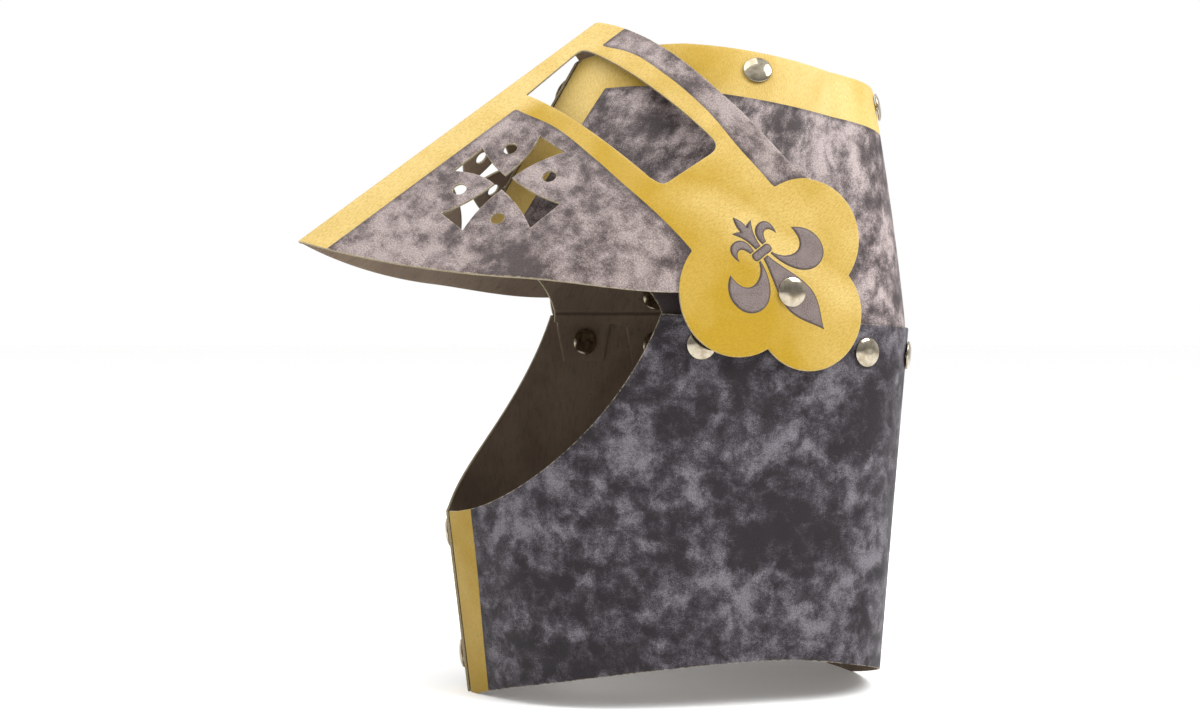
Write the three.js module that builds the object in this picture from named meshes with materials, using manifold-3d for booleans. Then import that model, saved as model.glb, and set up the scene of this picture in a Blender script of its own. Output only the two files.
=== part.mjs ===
// Toy knight helmet of fibreboard sheets: a neck sheet, a skull sheet with a crown plate, and a folded
// visor that turns on two temple rivets. Millimetres, +Z up, the face looks toward -X and the wearer's
// left side is -Y. The origin is on the floor, under the middle of the object's box.
import * as THREE from 'three';
import { mergeVertices } from 'three/addons/utils/BufferGeometryUtils.js';
import Module from 'manifold-3d';

const wasm = await Module();
wasm.setup();

// ---------------------------------------------------------------- driving dimensions
const CARD = 1.2; // thickness of every sheet
const GAP = 0.3; // air between pieces that touch in the real helmet
const LAP = CARD + GAP; // one sheet lying inside another
const BOX_SHIFT = 5.64; // moves the whole object so that its box is centred on the origin

// Plan of the helmet's wall at three heights. Each half runs from the front fold to the middle of the
// back: front fold at x = front, leaving it at an angle of fold degrees to the middle plane; widest
// (half width wide) at x = side; middle of the back at x = back. The reaches set how full it is.
const BOTTOM = { front: -64.5, fold: 73, frontReach: 46, side: 62, sideReach: 100, wide: 73,
  rearReach: 36, back: 109.5, backReach: 46 };
const SEAM = { front: -83.5, fold: 68, frontReach: 50, side: 68, sideReach: 110, wide: 75,
  rearReach: 42, back: 124.5, backReach: 48 };
const TOP = { front: -18.5, fold: 76, frontReach: 14, side: 80, sideReach: 36, wide: 46,
  rearReach: 24, back: 113.5, backReach: 30 };
const SEAM_Z = 153;
const TOP_Z = 264;
const CHEEK_BULGE = 1.6; // above 1 keeps the skull wide near the temples before it narrows

// Neck sheet
const CHIN_Z = 76; // height of the chin's top edge at the front fold
const CORNER = { along: 110, z: 157.5 }; // where the face opening meets the seam
const SEAM_FALL = 0.046; // the neck sheet's top edge drops this much per mm toward the back
const RIM_ARCH = 18.2; // how far the bottom rim is arched up over the shoulder
const RIM_FOOT = { front: 6, back: 12 }; // stretches of rim that stand on the floor, each side

// Skull sheet
const BROW_Z = 188;
const CROWN_FRONT_Z = 264;
const CROWN_HIGH_Z = 271;
const CROWN_BACK_Z = 250;
const FLANGE = 18; // riveted flange behind each front fold
const FLANGE_TRIM = 3; // it is cut back this much at both ends

// Rivets: shank, cap and the holes they pass through
const SHANK_R = 1.8;
const HOLE_R = 2.6;
const CAP_R = 6;
const CAP_RISE = 1.8;
const DOME = [[0.75, 0.8], [0.4, 0.97], [0, 1]]; // shares of the cap's radius and rise
const SEAM_RIVETS = { first: 126, pitch: 36.5, count: 5, drop: 11.5 };
const TAB = { topHalf: 14, endHalf: 10.5, start: 3, reach: 20.5 };
const CHIN_RIVET_Z = [66, 14.5];
const BROW_RIVET_Z = [252, 206];
const FOLD_RIVET = 10.5; // distance of the chin and brow rivets from the fold
const FOLD_CAP_R = 4.2; // their inner caps are small, to fit inside the fold
const INNER_HOLE_R = 3.2; // looser holes in the layer that a cap hides
const RIVET_HOLE_SIDES = 8;
const RIVET_SIDES = 12;
const INNER_GAP = 1; // room between the inner cap and the hollow side of the wall
const CROWN_RIVETS = [{ along: 117, z: 258.5 }, { along: 238, z: 246 }];
const CROWN_PLATE = { z: 237, tabHalf: 9, tabOver: 6.5, holeR: 3.8, frontCut: 14, flangeEnd: 60, air: 0.7 };

// Visor, laid out flat: p runs up along the ridge from the tip, v is the distance from the ridge.
const RIDGE_TIP = { x: -135.9, z: 187.3 };
const RIDGE_RISE = THREE.MathUtils.degToRad(36.5);
const RIDGE_LENGTH = 158.9;
const HALF_ANGLE = THREE.MathUtils.degToRad(48); // each half against the middle plane, at the ridge
const CHEEK_R = 55; // radius of the bend between the flat half and the temple
const TEMPLE_W = 79.5; // outer face of the temple from the middle plane
const PIVOT = { p: 134, v: 158 };
const PIVOT_HOLE_R = 2.6;
const PIVOT_SLACK = 1.2; // extra shank, because the skull's wall leans away from the pivot's axis
const CROSS_HOLE_R = 2.9;
const CROSS_HOLE_SIDES = 12;
const CROSS_HOLES = [[89.5, 28.9], [90.8, 53.2], [62.9, 54.3], [61.9, 30]]; // p and v of each
const CROSS_TIPS = [[79.1, 38.7], [80.1, 42], [73.4, 43.5], [73.2, 38.8]]; // p and v of the tongues' tips
const CROSS_ARMS = [ // each arm runs along p (0) or v (1) and has its two end corners
  { along: 0, ends: [[102.2, 32.9], [103.3, 47.8]] },
  { along: 1, ends: [[84.8, 67.8], [68.6, 68.4]] },
  { along: 0, ends: [[49.5, 48.4], [49, 34.5]] },
  { along: 1, ends: [[66.1, 20], [82, 19.6]] },
];
const LOBES = [ // the rosette's three free lobes: centre, radius, and the arc each one shows, in degrees
  { p: 115.7, v: 144.9, r: 25.5, from: 216, to: 97 },
  { p: 135.5, v: 169.8, r: 23, from: 179, to: -5 },
  { p: 151.2, v: 144.6, r: 24.1, from: 72, to: -46 },
];

// ---------------------------------------------------------------- small helpers
const { lerp, clamp } = THREE.MathUtils;
const mixLevels = (a, b, k) => Object.fromEntries(
  Object.keys(a).map((key) => [key, lerp(a[key], b[key], k)]),
);
const cubic = (a, b, c, d, t) => {
  const s = 1 - t;
  return s * s * s * a + 3 * s * s * t * b + 3 * s * t * t * c + t * t * t * d;
};

// ---------------------------------------------------------------- the wall's shape
function neckLevel(z) {
  return mixLevels(BOTTOM, SEAM, z / SEAM_Z);
}

function skullLevel(z) {
  if (z <= SEAM_Z) return neckLevel(z);
  const k = (z - SEAM_Z) / (TOP_Z - SEAM_Z);
  const level = mixLevels(SEAM, TOP, k);
  level.wide = lerp(SEAM.wide, TOP.wide, k ** CHEEK_BULGE);
  return level;
}

// Half plan of one level: t = 0 at the front fold, 0.5 at the widest place, 1 at the back.
function planPoint(level, t) {
  const fold = THREE.MathUtils.degToRad(level.fold);
  const { front, frontReach, side, sideReach, wide, rearReach, back, backReach } = level;
  if (t < 0.5) {
    const k = 2 * t;
    return [
      cubic(front, front + frontReach * Math.cos(fold), side - sideReach, side, k),
      cubic(0, frontReach * Math.sin(fold), wide, wide, k),
    ];
  }
  const k = 2 * t - 1;
  return [cubic(side, side + rearReach, back, back, k), cubic(wide, wide, backReach, 0, k)];
}

function planTangent(level, t) {
  const step = 1e-4;
  const [xa, wa] = planPoint(level, Math.max(0, t - step));
  const [xb, wb] = planPoint(level, Math.min(1, t + step));
  const length = Math.hypot(xb - xa, wb - wa);
  return [(xb - xa) / length, (wb - wa) / length];
}

// Distance along the seam level from the front fold, and back from it to t.
const SEAM_STEPS = 600;
const seamDistance = [0];
for (let i = 1; i <= SEAM_STEPS; i += 1) {
  const [xa, wa] = planPoint(SEAM, (i - 1) / SEAM_STEPS);
  const [xb, wb] = planPoint(SEAM, i / SEAM_STEPS);
  seamDistance.push(seamDistance[i - 1] + Math.hypot(xb - xa, wb - wa));
}
const HALF = seamDistance[SEAM_STEPS];

function paramAt(along) {
  const d = clamp(along, 0, HALF);
  const i = Math.max(1, seamDistance.findIndex((value) => value >= d));
  return (i - 1 + (d - seamDistance[i - 1]) / (seamDistance[i] - seamDistance[i - 1])) / SEAM_STEPS;
}

// t at a true distance from the fold, on any level; used close to the fold only.
function paramNearFold(level, distance) {
  const step = 0.002;
  let t = 0;
  let travelled = 0;
  while (travelled < distance) {
    const [xa, wa] = planPoint(level, t);
    const [xb, wb] = planPoint(level, t + step);
    const length = Math.hypot(xb - xa, wb - wa);
    if (travelled + length >= distance) return t + step * (distance - travelled) / length;
    travelled += length;
    t += step;
  }
  return t;
}

// A point of the wall: side is -1 for the left and 1 for the right, depth goes inward.
function wallPoint(level, t, side, depth, z) {
  const [x, w] = planPoint(level, t);
  const [dx, dw] = planTangent(level, t);
  return [x + dw * depth, side * (w - dx * depth), z];
}

// The wall sheets are one strip each: u = 0 at the front fold, then back along the left side, round
// the back (u = HALF) and forward along the right side to u = 2 HALF. Below 0 is the flange, which
// lies inside the right wall's front end.
const FOLD_BLEND = 12;

function foldAngle(level) {
  return THREE.MathUtils.degToRad(level.fold);
}

// t on a side wall whose sheet starts at a true distance start from the nose.
function sideParam(level, along, start) {
  if (along >= FOLD_BLEND) return paramAt(along);
  return lerp(paramNearFold(level, start), paramAt(FOLD_BLEND), along / FOLD_BLEND);
}

function wallPlace(levelOf, inset) {
  return (u, z, depth) => {
    const level = levelOf(z);
    const fold = foldAngle(level);
    const sheet = inset + depth;
    const nose = inset / Math.tan(fold);
    const setBack = nose + LAP / Math.sin(2 * fold); // along the left wall, from the nose to the fold
    if (u > HALF) return wallPoint(level, sideParam(level, 2 * HALF - u, nose), 1, sheet, z);
    if (u > 0) return wallPoint(level, sideParam(level, u, setBack), -1, sheet, z);
    if (u < 0) {
      const distance = Math.max(0, nose - u + LAP / Math.tan(2 * fold));
      return wallPoint(level, paramNearFold(level, distance), 1, sheet + LAP, z);
    }
    const [x, y] = wallPoint(level, paramNearFold(level, setBack), -1, inset, z);
    return [x + depth / Math.sin(fold), y, z];
  };
}

const placeNeck = wallPlace(neckLevel, 0);
const placeSkull = wallPlace(skullLevel, LAP);

// ---------------------------------------------------------------- the visor's shape
const FLAT_V = (TEMPLE_W - CHEEK_R * (1 - Math.cos(HALF_ANGLE))) / Math.sin(HALF_ANGLE);
const BEND_END_V = FLAT_V + CHEEK_R * HALF_ANGLE;

// p, v and depth of the flat visor to a place in space; v below 0 is the left half.
function placeVisor(p, v, depth) {
  const reach = Math.abs(v);
  const lean = HALF_ANGLE - clamp((reach - FLAT_V) / CHEEK_R, 0, HALF_ANGLE);
  let down = Math.min(reach, FLAT_V) * Math.cos(HALF_ANGLE);
  let out = Math.min(reach, FLAT_V) * Math.sin(HALF_ANGLE);
  down += CHEEK_R * (Math.sin(HALF_ANGLE) - Math.sin(lean)) + Math.max(0, reach - BEND_END_V);
  out += CHEEK_R * (Math.cos(lean) - Math.cos(HALF_ANGLE));
  if (reach < 1e-6) {
    down += depth / Math.sin(HALF_ANGLE);
  } else {
    down += depth * Math.sin(lean);
    out -= depth * Math.cos(lean);
  }
  return [
    RIDGE_TIP.x + p * Math.cos(RIDGE_RISE) + down * Math.sin(RIDGE_RISE),
    Math.sign(v) * out,
    RIDGE_TIP.z + p * Math.sin(RIDGE_RISE) - down * Math.cos(RIDGE_RISE),
  ];
}

// ---------------------------------------------------------------- bent sheets
const COLUMN_MIN = 2.5; // a bend line this close to a corner of the outline is left out

// Cuts a flat outline with holes into columns at every corner and at the given lines, and each column
// into triangles. Levels are extra points along the column edges. Gives points and faces.
function columnMesh(loops, lines, levels) {
  const round = (value) => Math.round(value * 1e4) / 1e4;
  const rounded = loops.map((loop) => loop.map(([u, v]) => [round(u), round(v)]));
  const segments = rounded.flatMap((loop) => loop.map((a, i) => {
    const b = loop[(i + 1) % loop.length];
    return a[0] < b[0] ? [a, b] : [b, a];
  }));
  const cornerU = [...new Set(rounded.flat().map(([u]) => u))].sort((a, b) => a - b);
  const isFree = (u) => cornerU.every((other) => Math.abs(other - u) > COLUMN_MIN);
  const inside = (u) => u > cornerU[0] && u < cornerU.at(-1);
  const kept = lines.map(round).filter((u) => inside(u) && isFree(u));
  const columns = [...cornerU, ...kept].sort((a, b) => a - b);
  const heightAt = ([a, b], u) => round(lerp(a[1], b[1], (u - a[0]) / (b[0] - a[0])));

  const cells = [];
  const edgePoints = columns.map(() => new Set());
  for (let i = 0; i + 1 < columns.length; i += 1) {
    const [ua, ub] = [columns[i], columns[i + 1]];
    const crossing = segments.filter(([a, b]) => a[0] <= ua && b[0] >= ub)
      .map((segment) => [heightAt(segment, ua), heightAt(segment, ub)])
      .sort((a, b) => a[0] + a[1] - b[0] - b[1]);
    for (let k = 0; k + 1 < crossing.length; k += 2) {
      const [low, high] = [crossing[k], crossing[k + 1]];
      cells.push({ i, low, high });
      for (const side of [0, 1]) {
        edgePoints[i + side].add(low[side]).add(high[side]);
        const between = levels.filter((v) => v > low[side] && v < high[side]);
        between.forEach((v) => edgePoints[i + side].add(round(v)));
      }
    }
  }

  const points = [];
  const indexOf = new Map();
  const pointIndex = (i, v) => {
    const key = `${i} ${v}`;
    if (!indexOf.has(key)) indexOf.set(key, points.push([columns[i], v]) - 1);
    return indexOf.get(key);
  };
  const faces = [];
  for (const { i, low, high } of cells) {
    const [left, right] = [0, 1].map((side) => [...edgePoints[i + side]]
      .filter((v) => v >= low[side] && v <= high[side]).sort((a, b) => a - b)
      .map((v) => ({ v, index: pointIndex(i + side, v) })));
    let [a, b] = [0, 0];
    while (a + 1 < left.length || b + 1 < right.length) {
      const climbLeft = b + 1 >= right.length || (a + 1 < left.length && left[a + 1].v <= right[b + 1].v);
      if (climbLeft) {
        faces.push([left[a].index, right[b].index, left[a + 1].index]);
        a += 1;
      } else {
        faces.push([left[a].index, right[b].index, right[b + 1].index]);
        b += 1;
      }
    }
  }
  return { points, faces };
}

// A closed sheet of card: the flat shape is cut into columns, then each point is put in space by
// place(u, v, depth), at depth 0 for the outer face and CARD for the inner one.
function bentSheet(shape, lines, levels, place) {
  const { shape: outline, holes } = shape.extractPoints(1);
  const loops = [outline, ...holes].map((loop) => loop.map((point) => [point.x, point.y]));
  const { points, faces } = columnMesh(loops, lines, levels);
  const edges = new Set(faces.flatMap(([a, b, c]) => [`${a} ${b}`, `${b} ${c}`, `${c} ${a}`]));
  const count = points.length;
  const index = [];
  for (const [a, b, c] of faces) index.push(a, b, c, c + count, b + count, a + count);
  for (const edge of edges) {
    const [a, b] = edge.split(' ').map(Number);
    if (!edges.has(`${b} ${a}`)) index.push(b, a, a + count, b, a + count, b + count);
  }
  const outer = points.map(([u, v]) => place(u, v, 0));
  const inner = points.map(([u, v]) => place(u, v, CARD));
  const geometry = new THREE.BufferGeometry();
  geometry.setAttribute('position', new THREE.Float32BufferAttribute([...outer, ...inner].flat(), 3));
  geometry.setIndex(index);
  return geometry;
}

// Turns the faces round if they point in.
function facingOut(geometry) {
  const position = geometry.getAttribute('position');
  const index = geometry.getIndex();
  const [a, b, c] = [new THREE.Vector3(), new THREE.Vector3(), new THREE.Vector3()];
  let volume = 0;
  for (let i = 0; i < index.count; i += 3) {
    a.fromBufferAttribute(position, index.getX(i));
    b.fromBufferAttribute(position, index.getX(i + 1));
    c.fromBufferAttribute(position, index.getX(i + 2));
    volume += a.dot(b.cross(c));
  }
  if (volume < 0) geometry.setIndex(Array.from(index.array).reverse());
  return geometry;
}

function linesBetween(from, to, step) {
  const count = Math.ceil(Math.abs(to - from) / step);
  return Array.from({ length: count + 1 }, (_, i) => lerp(from, to, i / count));
}

// ---------------------------------------------------------------- outlines
function addHole(shape, u, v, radiusU, radiusV = radiusU, sides = RIVET_HOLE_SIDES) {
  const hole = new THREE.Path();
  for (let i = 0; i < sides; i += 1) {
    const angle = (2 * Math.PI * i) / sides;
    const [x, y] = [u + radiusU * Math.cos(angle), v + radiusV * Math.sin(angle)];
    if (i === 0) hole.moveTo(x, y);
    else hole.lineTo(x, y);
  }
  shape.holes.push(hole);
}

function shapeFrom(points) {
  return new THREE.Shape(points.map(([u, v]) => new THREE.Vector2(u, v)));
}

function curvePoints(a, b, c, d, steps) {
  return Array.from({ length: steps + 1 }, (_, i) => {
    const t = i / steps;
    return [cubic(a[0], b[0], c[0], d[0], t), cubic(a[1], b[1], c[1], d[1], t)];
  });
}

const mirror = ([u, v]) => [2 * HALF - u, v];
const neckTop = (along) => CORNER.z - SEAM_FALL * (along - CORNER.along);
const seamRivetAlong = linesBetween(0, SEAM_RIVETS.count - 1, 1)
  .map((i) => SEAM_RIVETS.first + i * SEAM_RIVETS.pitch);

// A rivet hole in a wall sheet, made as wide in u as keeps it round on the bent wall.
function addWallHole(shape, levelOf, u, z, radius = HOLE_R) {
  const along = Math.min(u, 2 * HALF - u);
  const reach = 2;
  const [xa, wa] = planPoint(levelOf(z), paramAt(along - reach));
  const [xb, wb] = planPoint(levelOf(z), paramAt(along + reach));
  const scale = Math.hypot(xb - xa, wb - wa) / (2 * reach);
  addHole(shape, u, z, radius / scale, radius);
}

// u on the right wall, and on the flange behind it, at a true distance from the fold.
function rightWallU(levelOf, inset, z, distance) {
  const level = levelOf(z);
  const target = paramNearFold(level, distance);
  let [low, high] = [0, HALF / 2];
  for (let i = 0; i < 40; i += 1) {
    const middle = (low + high) / 2;
    if (sideParam(level, middle, inset / Math.tan(foldAngle(level))) < target) low = middle;
    else high = middle;
  }
  return 2 * HALF - low;
}

function flangeU(levelOf, inset, z, distance) {
  const fold = foldAngle(levelOf(z));
  return inset / Math.tan(fold) + LAP / Math.tan(2 * fold) - distance;
}

function addFoldRivetHoles(shape, levelOf, inset, z) {
  addWallHole(shape, levelOf, rightWallU(levelOf, inset, z, FOLD_RIVET), z);
  addHole(shape, flangeU(levelOf, inset, z, FOLD_RIVET), z, INNER_HOLE_R);
}

function neckShape() {
  const archTop = 160;
  const footEnd = HALF - RIM_FOOT.back;
  const rim = [
    [0, 0],
    ...curvePoints([RIM_FOOT.front, 0], [50, 9.9], [105, RIM_ARCH], [archTop, RIM_ARCH], 8),
    ...curvePoints([archTop, RIM_ARCH], [197, RIM_ARCH], [footEnd - 29, 4], [footEnd, 0], 8).slice(1),
  ];
  const chin = curvePoints([0, CHIN_Z], [45, CHIN_Z], [92, 112], [CORNER.along, CORNER.z], 14);
  const shape = shapeFrom([
    [-FLANGE, FLANGE_TRIM],
    ...rim,
    ...[...rim].reverse().map(mirror),
    ...chin.map(mirror),
    [HALF, neckTop(HALF)],
    ...[...chin].reverse(),
    [-FLANGE, CHIN_Z - FLANGE_TRIM],
  ]);
  for (const along of seamRivetAlong) {
    const z = neckTop(along) - SEAM_RIVETS.drop;
    addWallHole(shape, neckLevel, along, z);
    addWallHole(shape, neckLevel, 2 * HALF - along, z);
  }
  for (const z of CHIN_RIVET_Z) addFoldRivetHoles(shape, neckLevel, 0, z);
  return shape;
}

// Where the pivot's axis meets the left wall of the skull.
function pivotAlong() {
  const [x, , z] = placeVisor(PIVOT.p, -PIVOT.v, 0);
  let [low, high] = [100, 250];
  for (let i = 0; i < 40; i += 1) {
    const middle = (low + high) / 2;
    if (placeSkull(middle, z, CARD / 2)[0] < x) low = middle;
    else high = middle;
  }
  return { along: low, z };
}

function skullShape() {
  const brow = curvePoints([0, BROW_Z], [45, BROW_Z], [88, 182], [CORNER.along - 2, CORNER.z + 1], 12);
  const tabs = seamRivetAlong.flatMap((along) => {
    const top = neckTop(along);
    return [
      [along - TAB.topHalf, top - TAB.start],
      [along - TAB.endHalf, top - TAB.reach],
      [along + TAB.endHalf, top - TAB.reach],
      [along + TAB.topHalf, top - TAB.start],
    ];
  });
  const lower = [...brow, [CORNER.along, CORNER.z - TAB.start], ...tabs];
  const shoulder = [70, CROWN_HIGH_Z];
  const crown = [
    ...curvePoints([0, CROWN_FRONT_Z], [25, CROWN_FRONT_Z + 2], [45, CROWN_HIGH_Z], shoulder, 6),
    ...curvePoints(shoulder, [110, CROWN_HIGH_Z - 2], [200, 254], [HALF, CROWN_BACK_Z], 12).slice(1),
  ];
  const shape = shapeFrom([
    [-FLANGE, BROW_Z + FLANGE_TRIM],
    ...lower,
    ...[...lower].reverse().map(mirror),
    ...crown.map(mirror),
    ...[...crown].reverse().slice(1),
    [-FLANGE, CROWN_FRONT_Z - FLANGE_TRIM],
  ]);
  for (const along of seamRivetAlong) {
    const z = neckTop(along) - SEAM_RIVETS.drop;
    addWallHole(shape, skullLevel, along, z, INNER_HOLE_R);
    addWallHole(shape, skullLevel, 2 * HALF - along, z, INNER_HOLE_R);
  }
  for (const { along, z } of CROWN_RIVETS) {
    addWallHole(shape, skullLevel, along, z);
    addWallHole(shape, skullLevel, 2 * HALF - along, z);
  }
  for (const z of BROW_RIVET_Z) addFoldRivetHoles(shape, skullLevel, LAP, z);
  const { along, z } = pivotAlong();
  addWallHole(shape, skullLevel, along, z, INNER_HOLE_R);
  addWallHole(shape, skullLevel, 2 * HALF - along, z, INNER_HOLE_R);
  return shape;
}

// ---------------------------------------------------------------- visor outline and cut-outs
function lobePoints({ p, v, r, from, to }) {
  return linesBetween(from, to, 12).map((degrees) => {
    const angle = THREE.MathUtils.degToRad(degrees);
    return [p + r * Math.cos(angle), v + r * Math.sin(angle)];
  });
}

// One half of the visor: up the face edge, round the three free lobes, and back down to the ridge.
function visorHalf() {
  const faceEdge = curvePoints([0, 0], [20, 48], [60, 104.5], [94.6, 129.4], 12);
  const browEdge = [
    ...curvePoints([167.8, 127.2], [159.5, 113], [168, 75], [168.5, 45], 8).slice(1),
    ...curvePoints([168.5, 45], [168.5, 25], [165.5, 10], [RIDGE_LENGTH, 0], 5).slice(1),
  ];
  return [...faceEdge, ...LOBES.flatMap(lobePoints), ...browEdge];
}

function eyeSlot() {
  return [
    ...curvePoints([112.7, 10.3], [117, 24], [119, 50], [117.5, 85], 6),
    ...curvePoints([118, 88], [118.4, 91], [119.5, 91.6], [122, 91.8], 3),
    ...curvePoints([142, 93.4], [145, 93.6], [147, 92.4], [147.8, 89], 3),
    ...curvePoints([147.8, 89], [150.2, 70], [151.8, 40], [147.6, 17], 6).slice(1),
    ...curvePoints([147, 14], [146, 9.8], [145, 8], [141, 8.2], 3),
  ];
}

// Cross with four flared arms; the tongues between the arms almost meet in the middle.
function crossCut() {
  const points = [];
  CROSS_ARMS.forEach(({ along, ends }, i) => {
    const tips = [CROSS_TIPS[i], CROSS_TIPS[(i + 1) % CROSS_TIPS.length]];
    const across = 1 - along;
    const [start, finish] = ends.map((end, k) => {
      const tip = tips[k];
      const leaving = [...tip];
      const arriving = [...end];
      leaving[along] = tip[along] + 0.4 * (end[along] - tip[along]);
      arriving[along] = end[along] + 0.3 * (tip[along] - end[along]);
      arriving[across] = end[across] + 0.6 * (tip[across] - end[across]);
      return curvePoints(tip, leaving, arriving, end, 5);
    });
    points.push(...start, ...finish.reverse().slice(0, -1));
  });
  return points;
}

function visorShape() {
  const half = visorHalf();
  const rightHalf = half.map(([p, v]) => [v, p]);
  const leftHalf = half.slice(1, -1).reverse().map(([p, v]) => [-v, p]);
  const shape = shapeFrom([...rightHalf, ...leftHalf]);
  for (const side of [-1, 1]) {
    for (const cut of [eyeSlot(), crossCut()]) {
      shape.holes.push(new THREE.Path(cut.map(([p, v]) => new THREE.Vector2(side * v, p))));
    }
    for (const [p, v] of CROSS_HOLES) {
      addHole(shape, side * v, p, CROSS_HOLE_R, CROSS_HOLE_R, CROSS_HOLE_SIDES);
    }
    addHole(shape, side * PIVOT.v, PIVOT.p, PIVOT_HOLE_R);
  }
  return shape;
}

// ---------------------------------------------------------------- crown plate
// A flat plate across the top of the skull, joined to four tabs turned up against the wall.
function toManifold(geometry) {
  const merged = mergeVertices(geometry, 1e-4);
  return new wasm.Manifold(new wasm.Mesh({
    numProp: 3,
    vertProperties: new Float32Array(merged.getAttribute('position').array),
    triVerts: new Uint32Array(merged.getIndex().array),
  }));
}

function fromManifold(solid) {
  const mesh = solid.getMesh();
  const geometry = new THREE.BufferGeometry();
  geometry.setAttribute('position', new THREE.Float32BufferAttribute(mesh.vertProperties, 3));
  geometry.setIndex(Array.from(mesh.triVerts));
  return geometry;
}

function crownPlate() {
  const edgeDepth = LAP + CARD + CROWN_PLATE.air + CARD / 2;
  const level = skullLevel(CROWN_PLATE.z);
  const edgeAt = (along, side) => {
    const room = along < CROWN_PLATE.flangeEnd ? LAP : 0;
    return wallPoint(level, paramAt(along), side, edgeDepth + room, 0);
  };
  const steps = linesBetween(CROWN_PLATE.frontCut, HALF, 7);
  const outline = [
    ...steps.map((along) => edgeAt(along, -1)),
    ...[...steps].reverse().slice(1).map((along) => edgeAt(along, 1)),
  ];
  const plate = new THREE.ExtrudeGeometry(shapeFrom(outline), { depth: CARD, bevelEnabled: false });
  plate.deleteAttribute('normal');
  plate.deleteAttribute('uv');
  plate.translate(0, 0, CROWN_PLATE.z);
  let solid = toManifold(plate);
  const placeTab = (u, z, depth) => placeSkull(u, z, CARD + CROWN_PLATE.air + depth);
  for (const { along, z } of CROWN_RIVETS) {
    for (const u of [along, 2 * HALF - along]) {
      const [a, b] = [u - CROWN_PLATE.tabHalf, u + CROWN_PLATE.tabHalf];
      const top = z + CROWN_PLATE.tabOver;
      const tab = shapeFrom([[a, CROWN_PLATE.z], [b, CROWN_PLATE.z], [b, top], [a, top]]);
      addWallHole(tab, skullLevel, u, z, CROWN_PLATE.holeR);
      const uLines = linesBetween(a, b, 5);
      const zLines = linesBetween(CROWN_PLATE.z, top, 6);
      solid = solid.add(toManifold(facingOut(bentSheet(tab, uLines, zLines, placeTab))));
    }
  }
  return fromManifold(solid);
}

// ---------------------------------------------------------------- rivets
// Two domed caps on a shank. The axis is Y with the outer sheet's face at 0; stack is what it holds.
function rivetGeometry(stack, innerCapR) {
  const rim = 0.5;
  const inside = -stack - INNER_GAP;
  const innerRise = CAP_RISE * innerCapR / CAP_R;
  const dome = (radius, base, rise) => [
    [radius, base],
    [radius, base + rim * Math.sign(rise)],
    ...DOME.map(([share, height]) => [radius * share, base + rise * height]),
  ];
  const outer = dome(CAP_R, GAP, CAP_RISE);
  const inner = dome(innerCapR, inside, -innerRise);
  const profile = [...inner.reverse(), [SHANK_R, inside], [SHANK_R, GAP], ...outer];
  const geometry = new THREE.LatheGeometry(profile.map(([r, y]) => new THREE.Vector2(r, y)), RIVET_SIDES);
  geometry.deleteAttribute('normal');
  geometry.deleteAttribute('uv');
  return facingOut(mergeVertices(geometry, 1e-4));
}

// ---------------------------------------------------------------- assembly
const material = (color, roughness, metalness) => (
  new THREE.MeshStandardMaterial({ color, roughness, metalness })
);
const neckMaterial = material(0x4b4853, 0.75, 0);
const skullMaterial = material(0x6a6569, 0.72, 0);
const visorMaterial = material(0xe0bd5a, 0.68, 0);
const boardMaterial = material(0x6f6256, 0.9, 0);
const rivetMaterial = material(0xcfc8bc, 0.28, 1);

const helmet = new THREE.Group();
helmet.name = 'knight_helmet';

function addPiece(name, geometry, pieceMaterial) {
  const mesh = new THREE.Mesh(geometry, pieceMaterial);
  mesh.name = name;
  helmet.add(mesh);
  return mesh;
}

const WALL_STEP = 7.5; // spacing of the bend lines round the wall
const wallLines = [
  ...linesBetween(-FLANGE, 0, 4.5),
  ...linesBetween(0, FOLD_BLEND, 4),
  ...linesBetween(FOLD_BLEND, HALF, WALL_STEP),
  ...linesBetween(HALF, 2 * HALF - FOLD_BLEND, WALL_STEP),
  ...linesBetween(2 * HALF - FOLD_BLEND, 2 * HALF, 4),
];
const bendLines = linesBetween(FLAT_V, BEND_END_V, 4.5);
const neckBody = bentSheet(neckShape(), wallLines, [], placeNeck);
const skullLevels = linesBetween(SEAM_Z, TOP_Z, 28);
const skullBody = bentSheet(skullShape(), wallLines, skullLevels, placeSkull);
const visorLines = [...bendLines.map((v) => -v), 0, ...bendLines];
const visorBody = bentSheet(visorShape(), visorLines, [], (v, p, depth) => placeVisor(p, v, depth));
addPiece('neck_sheet', facingOut(neckBody), neckMaterial);
addPiece('skull_sheet', facingOut(skullBody), skullMaterial);
addPiece('crown_plate', crownPlate(), boardMaterial);
addPiece('visor_sheet', facingOut(visorBody), visorMaterial);

// Sets a rivet at a wall position, square to the wall there.
function addWallRivet(name, place, u, z, innerCapR = CAP_R, air = GAP) {
  const reach = 1.5;
  const at = (du, dz) => new THREE.Vector3(...place(u + du, z + dz, 0));
  const across = at(reach, 0).sub(at(-reach, 0));
  const up = at(0, reach).sub(at(0, -reach));
  const inward = new THREE.Vector3(...place(u, z, 1)).sub(at(0, 0));
  const normal = across.cross(up).normalize();
  if (normal.dot(inward) > 0) normal.negate();
  const lean = -normal.dot(inward);
  const mesh = addPiece(name, rivetGeometry((2 * CARD + air) * lean, innerCapR), rivetMaterial);
  mesh.position.copy(at(0, 0));
  mesh.quaternion.setFromUnitVectors(new THREE.Vector3(0, 1, 0), normal);
}

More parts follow.
